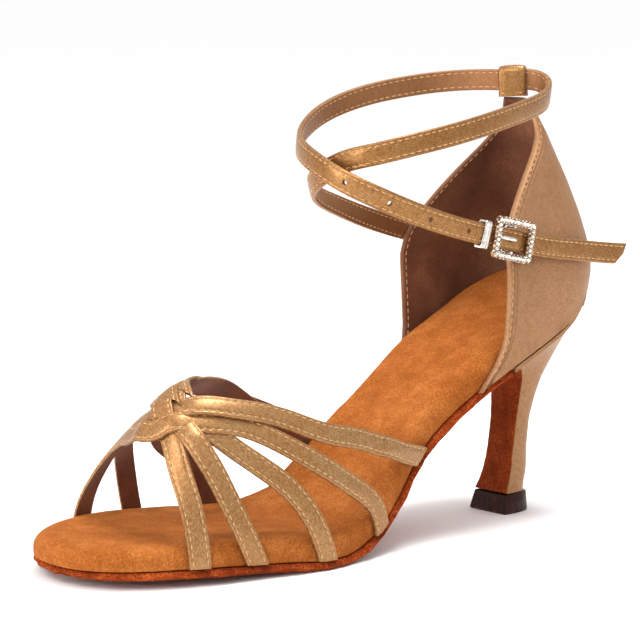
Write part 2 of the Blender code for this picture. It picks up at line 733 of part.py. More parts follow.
def seat_on(obj, frame):
    """Moves a piece made round its own origin (X along the strap, Y out of it, Z up) to its place."""
    centre, along, normal, up = frame
    basis = np.array([along, normal, up])
    mesh = obj.data
    points = np.empty(len(mesh.vertices) * 3)
    mesh.vertices.foreach_get("co", points)
    points = points.reshape(-1, 3) @ basis + centre
    mesh.vertices.foreach_set("co", points.ravel())
    bm = bmesh.new()
    bm.from_mesh(mesh)
    bmesh.ops.recalc_face_normals(bm, faces=bm.faces)
    bm.to_mesh(mesh)
    bm.free()
    return obj


def make_ankle_strap(satin, steel):
    """One long strap with a slanted free end, and the hole that the buckle's pin goes through."""
    world, along, normal, up = strap_route(ANKLE_ROUTE, 120)
    to_end = np.linalg.norm(world - world[-1], axis=1) / ANKLE_STRAP_WIDTH
    slant = STRAP_END_SLANT * np.clip(1 - to_end, 0, 1)[:, None]
    half_rung = (up + along * slant) * ANKLE_STRAP_WIDTH / 2
    rungs = np.stack([world - half_rung, world + half_rung], axis=1)
    half = normal[:, None, :] * ANKLE_STRAP_THICKNESS / 2
    strap = slab("ankle_strap", rungs + half, rungs - half, satin)
    side, deep = PRONG_WIDTH / 2 + GAP, ANKLE_STRAP_THICKNESS
    hole = box("strap_hole", (-side, -deep, -side), (side, deep, side), steel)
    return combine(strap, [seat_on(hole, frame_at(BUCKLE_PLACE))], "DIFFERENCE")


def make_buckle(steel):
    """Rectangular frame whose bar passes behind the strap, and the pin that lies on the frame."""
    frame = frame_at(BUCKLE_PLACE)
    half_strap = ANKLE_STRAP_THICKNESS / 2
    x, z = BUCKLE_LENGTH / 2, BUCKLE_HEIGHT / 2
    low, high = half_strap + GAP, half_strap + GAP + BUCKLE_DEPTH
    inside_x, inside_z = x - BUCKLE_RAIL, z - BUCKLE_RAIL
    plate = box("buckle_frame", (-x, low, -z), (x, high, z), steel)
    window = box("buckle_window", (-inside_x, 0, -inside_z), (inside_x, 2 * high, inside_z), steel)
    reach = ANKLE_STRAP_WIDTH / 2 + GAP
    leg = reach + BAR_WIDTH
    back, front = -low - BAR_WIDTH, low + BUCKLE_DEPTH / 2
    bar = box("buckle_bar", (-BAR_WIDTH / 2, back, -leg), (BAR_WIDTH / 2, front, leg), steel)
    room = box("buckle_room", (-BAR_WIDTH, -low, -reach), (BAR_WIDTH, 2 * high, reach), steel)
    combine(bar, [room], "DIFFERENCE")
    combine(plate, [window], "DIFFERENCE")
    combine(plate, [bar], "UNION")
    for piece in (plate, window, bar, room):
        seat_on(piece, frame)
    w = PRONG_WIDTH / 2
    tip = x - BUCKLE_RAIL / 4
    prong = box("buckle_prong", (-tip, high + GAP, -w), (w, high + GAP + PRONG_WIDTH, w), steel)
    shank = box("prong_shank", (-w, -half_strap + GAP / 2, -w), (w, high + GAP + w, w), steel)
    combine(prong, [shank], "UNION")
    for piece in (prong, shank):
        seat_on(piece, frame)
    return plate, prong


def make_buckle_tab(satin):
    """Short strap from the side of the counter to the inner side of the buckle's bar."""
    world, along, normal, up = strap_route(BUCKLE_TAB, 13)
    half_rung = up * BUCKLE_TAB_WIDTH / 2
    rungs = np.stack([world - half_rung, world + half_rung], axis=1)
    half = normal[:, None, :] * BUCKLE_TAB_THICKNESS / 2
    return slab("buckle_tab", rungs + half, rungs - half, satin)


def make_keeper(steel):
    """Flat metal slide round the strap, next to the frame."""
    centre, along, normal, up = frame_at(BUCKLE_PLACE)
    near = strap_route(ANKLE_ROUTE, 400)
    spot = centre - along * (BUCKLE_LENGTH / 2 + GAP * 4 + KEEPER_LENGTH / 2)
    index = np.linalg.norm(near[0] - spot, axis=1).argmin()
    frame = [direction[index] for direction in near]
    y, z = ANKLE_STRAP_THICKNESS / 2 + GAP, ANKLE_STRAP_WIDTH / 2 + GAP
    x, wall = KEEPER_LENGTH / 2, KEEPER_WALL
    keeper = box("buckle_keeper", (-x, -y - wall, -z - wall), (x, y + wall, z + wall), steel)
    hollow = box("keeper_hollow", (-2 * x, -y, -z), (2 * x, y, z), steel)
    combine(keeper, [hollow], "DIFFERENCE")
    for piece in (keeper, hollow):
        seat_on(piece, frame)
    return keeper


def make_loop(satin):
    """Leaf of satin folded over the ankle strap, standing on the counter's tab."""
    frame = frame_at(LOOP_PLACE)
    tab_top = feather(0.0) + COUNTER_RISE + GAP
    foot = frame[0][2] - tab_top - GAP
    y, z = ANKLE_STRAP_THICKNESS / 2 + GAP + LOOP_SLACK, ANKLE_STRAP_WIDTH / 2 + GAP
    x, wall = LOOP_WIDTH / 2, LOOP_WALL
    outer = box("strap_loop", (-x, -y - wall, -foot), (x, y + wall, z + wall), satin)
    hollow = box("loop_hollow", (-2 * x, -y, -z), (2 * x, y, z), satin)
    combine(outer, [hollow], "DIFFERENCE")
    for piece in (outer, hollow):
        seat_on(piece, frame)
    return outer


def clear_scene():
    for obj in list(bpy.data.objects):
        bpy.data.objects.remove(obj, do_unlink=True)


def build():
    clear_scene()
    gold = (0.58, 0.39, 0.20)
    grey = (0.80, 0.80, 0.80)
    make_outsole(material("suede_sole", (0.42, 0.14, 0.05), 0.95))
    make_insole(material("suede_footbed", (0.52, 0.20, 0.06), 0.95))
    make_heel(material("satin_heel", (0.55, 0.38, 0.20), 0.4))
    make_breast_cover(material("suede_breast", (0.24, 0.06, 0.02), 0.95))
    make_heel_tip(material("heel_tip_plastic", (0.06, 0.02, 0.02), 0.3))
    make_vamp(material("satin_vamp", gold, 0.35))
    make_counter(material("satin_counter", (0.50, 0.34, 0.19), 0.45))
    make_ankle_strap(material("satin_ankle", gold, 0.35), material("steel_cut", grey, 0.2, 1))
    make_buckle(material("steel_frame", grey, 0.2, 1))
    make_buckle_tab(material("satin_tab", gold, 0.35))
    make_keeper(material("steel_keeper", grey, 0.2, 1))
    make_loop(material("satin_loop", gold, 0.35))


build()
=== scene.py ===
"""Looks of a left ballroom dance shoe: satin straps and heel cup, suede soles, flared heel, stone-set buckle.

Metres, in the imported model's frame: +Z up, -Y towards the toe, +X towards the outer side of the foot.
A station is a distance forward from the back of the seat.
"""

import json

import bpy
import numpy as np
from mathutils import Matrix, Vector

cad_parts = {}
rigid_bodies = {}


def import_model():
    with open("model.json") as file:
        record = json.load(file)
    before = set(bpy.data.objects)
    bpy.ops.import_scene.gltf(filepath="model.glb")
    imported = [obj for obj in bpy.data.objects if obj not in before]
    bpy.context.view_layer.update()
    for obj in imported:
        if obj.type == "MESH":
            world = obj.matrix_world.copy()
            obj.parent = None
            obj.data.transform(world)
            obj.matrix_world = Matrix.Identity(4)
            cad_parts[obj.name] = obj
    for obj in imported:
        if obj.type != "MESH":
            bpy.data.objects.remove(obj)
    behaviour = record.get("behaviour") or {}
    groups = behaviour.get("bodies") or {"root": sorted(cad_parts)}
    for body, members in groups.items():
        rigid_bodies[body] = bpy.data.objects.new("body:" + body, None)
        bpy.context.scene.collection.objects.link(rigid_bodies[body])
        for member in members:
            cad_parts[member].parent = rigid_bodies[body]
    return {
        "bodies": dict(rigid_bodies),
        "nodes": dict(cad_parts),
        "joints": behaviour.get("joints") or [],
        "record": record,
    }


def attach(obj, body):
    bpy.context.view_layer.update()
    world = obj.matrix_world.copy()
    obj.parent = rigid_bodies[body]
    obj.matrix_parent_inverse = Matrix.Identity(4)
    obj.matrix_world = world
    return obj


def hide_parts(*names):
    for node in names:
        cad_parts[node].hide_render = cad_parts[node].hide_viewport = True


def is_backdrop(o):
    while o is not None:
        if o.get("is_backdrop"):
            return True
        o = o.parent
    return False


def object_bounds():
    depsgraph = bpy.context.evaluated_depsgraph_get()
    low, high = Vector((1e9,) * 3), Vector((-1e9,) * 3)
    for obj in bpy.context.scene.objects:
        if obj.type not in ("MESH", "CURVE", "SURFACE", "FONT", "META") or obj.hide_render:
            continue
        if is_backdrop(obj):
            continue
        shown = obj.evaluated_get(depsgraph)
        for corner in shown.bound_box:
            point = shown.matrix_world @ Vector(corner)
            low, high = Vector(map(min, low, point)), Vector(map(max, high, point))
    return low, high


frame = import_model()
cad_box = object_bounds()

# ---------------------------------------------------------------- camera, floor and light
# A long lens from the outer side and a little above, and a white floor in soft light from the left, which
# leaves a faint shadow to the right of the heel.


def tint(red, green, blue):
    """Linear colour of a screen colour given from 0 to 255."""
    share = np.array([red, green, blue]) / 255
    linear = np.where(share <= 0.04045, share / 12.92, ((share + 0.055) / 1.055) ** 2.4)
    return (*linear.tolist(), 1.0)


CAMERA_PLACE, CAMERA_TURN, FOCAL_LENGTH = (0.68501, -0.65743, 0.18779), (82.687, 0.0, 49.993), 156.0
ROOM_LIGHT, CEILING_LIGHT, FLOOR_SIZE = 0.84, 0.75, 40

scene = bpy.context.scene
scene.view_settings.view_transform = "Standard"
lens = bpy.data.cameras.new("photo_camera")
lens.lens, lens.sensor_width, lens.clip_end = FOCAL_LENGTH, 36.0, 100.0
camera = bpy.data.objects.new("photo_camera", lens)
camera.location, camera.rotation_euler = CAMERA_PLACE, np.radians(CAMERA_TURN)
scene.collection.objects.link(camera)
scene.camera = camera

world = bpy.data.worlds.new("studio")
world.use_nodes = True
world.node_tree.nodes["Background"].inputs["Color"].default_value = (1.0, 1.0, 1.0, 1.0)
world.node_tree.nodes["Background"].inputs["Strength"].default_value = ROOM_LIGHT
scene.world = world

for lamp, spot, turn, size, power in (
    ("key_left", (0.235, -1.19, 1.09), (50, 0, 11), 0.8, 8.0),
    ("key_low", (-0.20, -1.30, 0.35), (80, 0, -9), 0.4, 5.0),
    ("key_top", (0.02, 0.16, 1.22), (-14, 0, 0), 0.5, 11.0),
    ("fill_front", (1.25, -1.0, 0.7), (66, 0, 51), 1.2, 1.0),
):
    light = bpy.data.lights.new(lamp, "AREA")
    light.shape, light.size, light.energy = "DISK", size, power
    lit = bpy.data.objects.new(lamp, light)
    lit.location, lit.rotation_euler = spot, np.radians(turn)
    scene.collection.objects.link(lit)
light = bpy.data.lights.new("ceiling", "SUN")
light.energy, light.angle = CEILING_LIGHT, np.radians(90)
lit = bpy.data.objects.new("ceiling", light)
lit.rotation_euler = np.radians((30, 0, -9))
scene.collection.objects.link(lit)

floor_mesh = bpy.data.meshes.new("floor")
floor_corners = [(x * FLOOR_SIZE, y * FLOOR_SIZE, 0) for x, y in ((-1, -1), (1, -1), (1, 1), (-1, 1))]
floor_mesh.from_pydata(floor_corners, [], [(0, 1, 2, 3)])
floor = bpy.data.objects.new("floor", floor_mesh)
scene.collection.objects.link(floor)
paper = bpy.data.materials.new("floor_paper")
paper.use_nodes = True
paper_shader = paper.node_tree.nodes["Principled BSDF"]
paper_shader.inputs["Base Color"].default_value = (0.95, 0.95, 0.95, 1.0)
paper_shader.inputs["Roughness"].default_value = 0.9
floor_mesh.materials.append(paper)
floor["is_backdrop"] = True

# ---------------------------------------------------------------- outsole
# Thin split-suede sole glued under the footbed from the breast of the heel to the toe. Its cut edge is left
# raw, so it is fuzzy and lighter than the face.

SOLE_LENGTH, SEAT_WIDTH, WAIST_WIDTH, BALL_WIDTH, TOE_WIDTH = 0.216, 0.0545, 0.046, 0.074, 0.069
SEAT_ROUND, TOE_ROUND, SEAT_HEIGHT, TOE_SPRING, TOE_TRIM = 0.027, 0.045, 0.075, 0.003, 0.0024
OUTSOLE_THICKNESS, BREAST_STATION = 0.0028, 0.048
HEEL_TIP_STATION, HEEL_TIP_OUTWARD = 0.0280, 0.0028
GAP = 0.0003

# Share of the sole's length, width there, share of that width on the outer side
OUTLINE = (
    (0.10, SEAT_WIDTH, 0.50),
    (0.22, 0.98 * SEAT_WIDTH, 0.53),
    (0.36, WAIST_WIDTH, 0.54),
    (0.50, 0.785 * BALL_WIDTH, 0.575),
    (0.64, BALL_WIDTH, 0.535),
    (0.78, 0.97 * BALL_WIDTH, 0.497),
    (0.90, TOE_WIDTH, 0.475),
)

# Share of the sole's length, height of the outsole's underside as a share of the seat's height
PROFILE = (
    (0.00, 1.0),
    (0.06, 0.905),
    (0.12, 0.815),
    (0.24, 0.655),
    (0.38, 0.378),
    (0.46, 0.175),
    (0.52, 0.055),
    (0.60, 0.0),
    (0.634, 0.0),
    (0.70, 0.014),
    (0.76, 0.024),
    (0.85, 0.035),
    (0.94, 0.039),
)


def smooth_curve(rows, column, at):
    """Cubic through a table's rows whose slope at a row is the harmonic mean of those beside it, or none."""
    x = np.array([row[0] for row in rows], float)
    y = np.array([row[column] for row in rows], float)
    step = np.diff(x)
    slope = np.diff(y) / step
    tangent = np.concatenate([slope[:1], np.zeros(len(x) - 2), slope[-1:]])
    before, after = slope[:-1], slope[1:]
    steady = before * after > 0
    first, second = 2 * step[1:] + step[:-1], step[1:] + 2 * step[:-1]
    divisor = first / np.where(steady, before, 1) + second / np.where(steady, after, 1)
    tangent[1:-1] = np.where(steady, (first + second) / np.where(steady, divisor, 1), 0)
    at = np.clip(at, x[0], x[-1])
    i = np.clip(np.searchsorted(x, at, side="right") - 1, 0, len(x) - 2)
    t = (at - x[i]) / step[i]
    rise = y[i] * (1 + 2 * t) * (1 - t) ** 2 + y[i + 1] * t * t * (3 - 2 * t)
    return rise + step[i] * (tangent[i] * t * (1 - t) ** 2 + tangent[i + 1] * t * t * (t - 1))


def unit(vectors):
    """The same directions at a length of one."""
    return vectors / np.maximum(np.linalg.norm(vectors, axis=-1, keepdims=True), 1e-12)


def toe_share(station):
    """From 0 where the toe's curve begins to 1 at its tip."""
    return np.clip((station - SOLE_LENGTH + TOE_ROUND) / TOE_ROUND, 0, 1)


def smooth_width(station, side):
    """Half the sole's width, with its round seat and toe left out."""
    rows = [(share, width * (part if side > 0 else 1 - part)) for share, width, part in OUTLINE]
    return smooth_curve([(0.0, rows[0][1])] + rows + [(1.0, rows[-1][1])], 1, station / SOLE_LENGTH)


def half_width(station, side):
    """Half the sole's width, times a quarter circle over the seat and a rounder one over the toe."""
    seat = np.clip(1 - station / SEAT_ROUND, 0, 1)
    return smooth_width(station, side) * np.sqrt(1 - seat**2) * (1 - toe_share(station) ** 2.2) ** (1 / 2.2)


def ground(station):
    """Height of the outsole's underside."""
    rows = [(share, height * SEAT_HEIGHT) for share, height in PROFILE] + [(1.0, TOE_SPRING)]
    return smooth_curve(rows, 1, station / SOLE_LENGTH)


def steepness(station):
    """Length of the sole's profile over that of its plan: root of one plus the slope squared."""
    d = SOLE_LENGTH / 1000
    return np.sqrt(1 + ((ground(station + d) - ground(station - d)) / (2 * d)) ** 2)


def feather(station):
    """Height of the line where the upper meets the outsole."""
    return ground(station) + OUTSOLE_THICKNESS * steepness(station)


def place(outward, station, height):
    """World coordinates of a place on the shoe."""
    outward, station, height = np.broadcast_arrays(outward, station, height)
    return np.stack([outward - HEEL_TIP_OUTWARD, HEEL_TIP_STATION - station, height], axis=-1)


def sole_outline(start, rungs):
    """Plan outline: stations spaced as a cosine, out along the outer edge, round the toe and back."""
    if start > 0:
        station = start + (SOLE_LENGTH - start) * np.sin(np.linspace(0, np.pi / 2, rungs + 1))
    else:
        station = SOLE_LENGTH * (1 - np.cos(np.linspace(0, np.pi, rungs + 1))) / 2
    outer = np.stack([half_width(station, 1), station], axis=-1)
    inner = np.stack([-half_width(station, -1), station], axis=-1)
    return np.concatenate([outer, inner[-2::-1] if start > 0 else inner[-2:0:-1]])


def inset(outline, distance):
    """The outline moved inwards, square to itself."""
    along = unit(np.roll(outline, -1, axis=0) - np.roll(outline, 1, axis=0))
    return outline + np.stack([-along[:, 1], along[:, 0]], axis=-1) * np.reshape(distance, (-1, 1))


def travelled(points, axis):
    """Distance gone along one axis of a grid of points, summed from step to step."""
    steps = np.linalg.norm(np.diff(points, axis=axis), axis=-1)
    start = np.zeros_like(np.take(steps, [0], axis=axis))
    return np.concatenate([start, np.cumsum(steps, axis=axis)], axis=axis)


def read_at(at, gone, values):
    """Values at these distances along a line, between its own points."""
    return np.stack([np.interp(at, gone, values[:, k]) for k in range(values.shape[1])], axis=-1)


def new_piece(name, points, faces, materials):
    """Object with these corners, faces and materials, which rides on the shoe."""
    mesh = bpy.data.meshes.new(name)
    mesh.from_pydata(points.tolist(), [], faces)
    for made in materials:
        mesh.materials.append(made)
    obj = bpy.data.objects.new(name, mesh)
    scene.collection.objects.link(obj)
    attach(obj, "root")
    return obj


def skin(name, grid, materials, slots=None, hoop=False, caps=None, uv=None, sharp=0.7):
    """Piece over a grid of points. Each row is a closed ring, and so may the rows be as a whole, as a hoop.

    caps closes the end rows: 0 joins point i to point -i, 1 joins it to point -1 - i. The UV is in metres:
    distance across a row, then along the rows. Faces are turned so that the volume they enclose is positive.
    """
    rows, count = grid.shape[:2]
    r, c = np.meshgrid(np.arange(rows - 1 + hoop), np.arange(count), indexing="ij")
    m, n = (r + 1) % rows, (c + 1) % count
    quads = np.stack([r * count + c, r * count + n, m * count + n, m * count + c], -1)
    if uv is None:
        wrapped = np.concatenate([grid, grid[:, :1]], axis=1)
        wrapped = np.concatenate([wrapped, wrapped[:1]]) if hoop else wrapped
        uv = np.stack([travelled(wrapped, 1), travelled(wrapped, 0)], axis=-1)
    corner = np.stack([uv[r, c], uv[r, c + 1], uv[r + 1, c + 1], uv[r + 1, c]], axis=2)
    faces, face_uv = quads.reshape(-1, 4).tolist(), corner.reshape(-1, 4, 2).tolist()
    face_slots = [] if slots is None else np.broadcast_to(slots, r.shape).ravel().tolist()
    for base in (0, (rows - 1) * count) if caps is not None else ():
        for i in range((count + 1) // 2):
            loop = [i, i + 1, (-caps - i - 1) % count, (-caps - i) % count]
            loop = [k for j, k in enumerate(loop) if k not in loop[:j]]
            if len(loop) > 2:
                faces.append([base + k for k in loop])
                face_uv.append([[0.0, 0.0]] * len(loop))
                face_slots += [0] if slots is not None else []
    points = grid.reshape(-1, 3)
    fans = [(f[0], f[k], f[k + 1]) for f in faces for k in range(1, len(f) - 1)]
    corners = points[np.array(fans)]
    if np.einsum("ij,ij->i", corners[:, 0], np.cross(corners[:, 1], corners[:, 2])).sum() < 0:
        faces, face_uv = [f[::-1] for f in faces], [u[::-1] for u in face_uv]
    obj = new_piece(name, points, faces, materials)
    layer = obj.data.uv_layers.new(name="length")
    layer.data.foreach_set("uv", np.array([v for u in face_uv for v in u], np.float32).ravel())
    if face_slots:
        obj.data.polygons.foreach_set("material_index", np.array(face_slots, np.int32))
    obj.data.shade_smooth()
    obj.data.set_sharp_from_angle(angle=sharp)
    return obj


class Socket:
    """An output socket: arithmetic on it adds Math nodes, and node() adds any other kind."""

    def __init__(self, tree, output=None):
        self.tree, self.output = tree, output

    def node(self, kind, settings=None, sockets=None, out=0):
        """A node with its settings made first, then its sockets' values or links."""
        made = self.tree.nodes.new("ShaderNode" + kind)
        for name, value in (settings or {}).items():
            if name == "stops":
                ramp = made.color_ramp
                for _ in value[2:]:
                    ramp.elements.new(0.5)
                for element, (at, colour) in zip(ramp.elements, value):
                    element.position, element.color = at, colour
            else:
                setattr(made, name, value)
        for name, value in (sockets or {}).items():
            self.link(value, made.inputs[name])
        return Socket(self.tree, made.outputs[out])

    def link(self, value, target):
        if isinstance(value, Socket):
            self.tree.links.new(value.output, target)
        else:
            target.default_value = value

    def maths(self, operation, *values):
        return self.node("Math", {"operation": operation}, dict(enumerate(values)))

    def __add__(self, other):
        return self.maths("ADD", self, other)

    def __sub__(self, other):
        return self.maths("SUBTRACT", self, other)

    def __rsub__(self, other):
        return self.maths("SUBTRACT", other, self)

    def __mul__(self, other):
        return self.maths("MULTIPLY", self, other)

    __radd__, __rmul__ = __add__, __mul__

    def mix(self, first, second):
        """The first colour where this is 0, the second where it is 1."""
        return self.node("Mix", {"data_type": "RGBA"}, {0: self, 6: first, 7: second}, out=2)

    def noise(self, vector, scale, detail=3.0):
        return self.node("TexNoise", {}, {"Vector": vector, "Scale": scale, "Detail": detail})

    def ramp(self, *stops):
        return self.node("ValToRGB", {"stops": stops}, {0: self})

    def step(self, low, high):
        """0 below low, 1 above high, and smooth between."""
        settings = {"interpolation_type": "SMOOTHSTEP"}
        return self.node("MapRange", settings, {"Value": self, "From Min": low, "From Max": high})


def new_material(name, **constants):
    """A material, a Socket on its tree, its shader with what is the same all over, and places on the shoe."""
    made = bpy.data.materials.new(name)
    made.use_nodes = True
    shader = made.node_tree.nodes["Principled BSDF"]
    for socket, value in constants.items():
        shader.inputs[socket.replace("_", " ")].default_value = value
    flow = Socket(made.node_tree)
    return made, flow, shader, flow.node("TexCoord", out="Object")


def dress(flow, shader, colour, roughness, height, depth):
    """Links what varies over a surface: its colour, its roughness and a bump of this depth in metres."""
    flow.link(colour, shader.inputs["Base Color"])
    flow.link(roughness, shader.inputs["Roughness"])
    bump = flow.node("Bump", {}, {"Height": height, "Distance": depth, "Strength": 1.0})
    flow.link(bump, shader.inputs["Normal"])


def suede(name, dark, middle, light, pile=1.0):
    """Napped leather: two sizes of cloudy patches where the nap lies each way, over fine upright fibres."""
    matte = {"Specular_IOR_Level": 0.10, "Sheen_Weight": 0.10, "Sheen_Roughness": 0.5, "Sheen_Tint": light}
    made, flow, shader, body = new_material(name, **matte)
    patches, brushed = flow.noise(body, 45.0, 4.0), flow.noise(body, 190.0, 4.0)
    fibres = flow.noise(body, 1500.0)
    cloud = patches * 0.30 + brushed * 0.25 + fibres * 0.45
    colour = cloud.ramp((0.38, dark), (0.50, middle), (0.62, light))
    dress(flow, shader, colour, 0.85 + fibres * 0.15, brushed * 0.35 + fibres * 0.65, 0.0006 * pile)
    return made


outsole_suede = suede("outsole_suede", tint(90, 30, 8), tint(132, 50, 14), tint(184, 88, 36), 1.6)

EDGE_WAVE, EDGE_FRAY, EDGE_CURL = 0.00022, 0.00012, 0.00050
# Share of the outsole's thickness, distance of its wall from the outline there
OUTSOLE_WALL = ((0.0, 0.0012), (0.03, 0.0003), (0.3, -0.0002), (0.62, 0.0002), (0.90, 0.0008), (1.0, 0.0016))

plan = sole_outline(BREAST_STATION, 150)
plan = inset(plan, TOE_TRIM * toe_share(plan[:, 1]) ** 2)
turn = np.linspace(0, 1, len(plan))
ragged = EDGE_WAVE * (np.sin(131 * turn) * np.sin(37 * turn) + np.sin(233 * turn + 1.0) * np.sin(57 * turn))
ragged = ragged + EDGE_FRAY * (np.sin(431 * turn) + np.sin(733 * turn + 1.0) * np.sin(157 * turn))
rings = []
for share, inward in OUTSOLE_WALL:
    ring = inset(plan, inward - ragged * (share not in (0.0, 1.0)))
    ring[[0, -1], 1] = BREAST_STATION
    curl = EDGE_CURL * (1 - share) * (1 + np.sin(97 * turn) * np.sin(41 * turn)) * (0.02 < share < 0.98)
    rise = share * (OUTSOLE_THICKNESS - GAP) * steepness(ring[:, 1]) + curl
    rings.append(place(ring[:, 0], ring[:, 1], ground(ring[:, 1]) + rise))
outsole = skin("outsole_suede", np.array(rings), [outsole_suede], caps=1)
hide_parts("outsole")

# Loose fibres of the cut edge: three-sided spikes rooted at random in its wall, leaning out and mostly down
FIBRES, FIBRE_WIDTH, FIBRE_LENGTHS, FIBRE_ROOT, FLOOR_GAP = 1500, 0.00013, (0.0002, 0.0007), 0.0002, 0.0001

chance = np.random.default_rng(5)
along_edge = chance.uniform(0.02, 0.98, FIBRES) * (len(plan) - 1)
i, part = along_edge.astype(int), (along_edge % 1)[:, None]
low, high = (ring[i] * (1 - part) + ring[i + 1] * part for ring in (rings[1], rings[3]))
root = low + (high - low) * chance.uniform(0, 1, (FIBRES, 1)) ** 2
outward = (rings[2] - rings[5])[i] * (1, 1, 0)
lean = unit(unit(outward) + chance.uniform((-0.7, -0.7, -1.0), (0.7, 0.7, 0.3), (FIBRES, 3)))
side = unit(np.cross(lean, (0, 0, 1)))
over = np.cross(lean, side)
corners = [(side * np.cos(a) + over * np.sin(a)) * FIBRE_WIDTH / 2 for a in (0, 2.1, 4.2)]
corners = [root - lean * FIBRE_ROOT + corner for corner in corners]
tips = root + lean * chance.uniform(*FIBRE_LENGTHS, (FIBRES, 1))
tips[:, 2] = np.maximum(tips[:, 2], FLOOR_GAP)
points = np.stack([*corners, tips], axis=1).reshape(-1, 3)
faces = np.array([(0, 1, 3), (1, 2, 3), (2, 0, 3), (2, 1, 0)]) + 4 * np.arange(FIBRES)[:, None, None]
fibres = new_piece("outsole_fibres", points, faces.reshape(-1, 3).tolist(), [outsole_suede])

# ---------------------------------------------------------------- footbed
# Padded insole board covered in soft suede, which is turned over its edge and tucked above the outsole. The
# upper edge is rounded all the way round.

INSOLE_THICKNESS, INSOLE_EDGE_RADIUS, INSOLE_INSET, TOE_THINNING = 0.0078, 0.0048, 0.0015, 0.20
TUCK_WIDTH, TOP_RINGS = 0.0006, (0.006, 0.009, 0.013, 0.018)

footbed_suede = suede("footbed_suede", tint(132, 69, 23), tint(155, 86, 34), tint(180, 110, 54), 0.8)

plan = sole_outline(0, 180)
lift = INSOLE_THICKNESS - INSOLE_EDGE_RADIUS
steps = [(TUCK_WIDTH, 0.0), (TUCK_WIDTH / 6, TUCK_WIDTH / 2), (0.0, lift * 0.5)]
for angle in np.linspace(0, np.pi / 2, 12):
    steps.append((INSOLE_EDGE_RADIUS * (1 - np.cos(angle)), lift + INSOLE_EDGE_RADIUS * np.sin(angle)))
steps += [(inward, INSOLE_THICKNESS) for inward in TOP_RINGS]
rings = []
for inward, rise in steps:
    ring = inset(plan, INSOLE_INSET + inward)
    padding = rise * steepness(ring[:, 1]) * (1 - TOE_THINNING * toe_share(ring[:, 1]))
    rings.append(place(ring[:, 0], ring[:, 1], feather(ring[:, 1]) + padding))
insole = skin("footbed_suede", np.array(rings), [footbed_suede], caps=0)
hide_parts("insole")

# ---------------------------------------------------------------- heel
# Moulded block, slim at the stem and flared under the seat, wrapped in the same satin as the upper.

HEEL_STEM_HEIGHT, HEEL_STEM_WIDTH, HEEL_TIP_THICKNESS, HEEL_BULGE = 0.046, 0.0120, 0.0068, 0.0028
COUNTER_THICKNESS, COVER_THICKNESS = 0.0020, 0.0010
HEEL_AROUND, FRONT_STEPS, FRONT_BULGE, SEAM_INSET = 61, 19, 0.0004, 0.0012

# Height, front's station past the tip's middle, and depth as shares of the stem's height, width as a share
# of the stem's width
HEEL = (
    (0.000, 0.152, 0.345, 1.500),
    (0.143, 0.115, 0.300, 1.330),
    (0.154, 0.109, 0.262, 1.270),
    (0.326, 0.043, 0.239, 1.080),
    (0.478, 0.015, 0.217, 1.000),
    (0.652, -0.011, 0.210, 1.000),
    (0.826, -0.030, 0.239, 1.090),
    (1.000, -0.043, 0.304, 1.250),
)


def with_front(outward, station):
    """Closes a section, given from outer to inner front corner, with a front that bulges as a parabola."""
    share = np.linspace(0, 1, FRONT_STEPS + 2)[1:-1]
    across = outward[-1] + (outward[0] - outward[-1]) * share
    front = station[0] + FRONT_BULGE * share * (1 - share)
    middle = FRONT_STEPS // 2
    outward = np.concatenate([across[middle:], outward, across[:middle]])
    return np.stack([outward, np.concatenate([front[middle:], station, front[:middle]])], axis=-1)


def stem_section(row, grow=0.0):
    """D-shaped section: a rounded back as powers of sine and cosine, and a nearly straight front."""
    height, front, depth, width = row
    half, depth = width * HEEL_STEM_WIDTH / 2 + grow, depth * HEEL_STEM_HEIGHT + 2 * grow
    turn = np.linspace(0, np.pi, HEEL_AROUND)
    outward = HEEL_TIP_OUTWARD + half * np.sign(np.cos(turn)) * np.abs(np.cos(turn)) ** 0.8
    station = HEEL_TIP_STATION + front * HEEL_STEM_HEIGHT + grow - depth * np.sin(turn) ** 0.8
    ring = with_front(outward, station)
    return np.column_stack([ring, np.full(len(ring), height * HEEL_STEM_HEIGHT)])


def seat_section():
    """Plan of the heel where it carries the seat: the sole's outline, grown by the thickness of the upper."""
    overhang = COUNTER_THICKNESS + GAP - INSOLE_INSET
    turn = np.linspace(0, np.pi, HEEL_AROUND)
    front = BREAST_STATION - 2 * GAP
    station = front - front * np.sin(turn) ** 0.8
    side = np.where(turn < np.pi / 2, 1, -1)
    width = np.where(side > 0, half_width(station, 1), half_width(station, -1))
    outward = side * (width + overhang * np.minimum(1, width / (4 * overhang)))
    return with_front(outward, station - HEEL_BULGE * np.sin(turn) ** 4)


def heel_rings():
    """Sections from the tip up to the seat: the stem's table, then a flare that opens as a power of height."""
    heights = np.linspace(HEEL[2][0], 1, 26)
    columns = [heights, *(smooth_curve(HEEL, k, heights) for k in (1, 2, 3))]
    rings = [stem_section(row) for row in zip(*columns)]
    stem, seat = rings[-1], seat_section()
    forward = (np.clip(seat[:, 1], 0, BREAST_STATION) / BREAST_STATION) ** 2
    top = feather(seat[:, 1]) - GAP
    low = ground(seat[:, 1]) + COVER_THICKNESS + GAP
    under = (1 - forward) * (top - OUTSOLE_THICKNESS / 2) + forward * low
    for t in np.linspace(0, 1, 27)[1:]:
        plan = stem[:, :2] + (seat - stem[:, :2]) * (t ** (1 + forward))[:, None]
        rise = 1 - (1 - t) ** (1 + 1.2 * forward)
        rings.append(np.column_stack([plan, stem[:, 2] + (under - stem[:, 2]) * rise]))
    rings.append(np.column_stack([seat, top]))
    return np.array(rings)


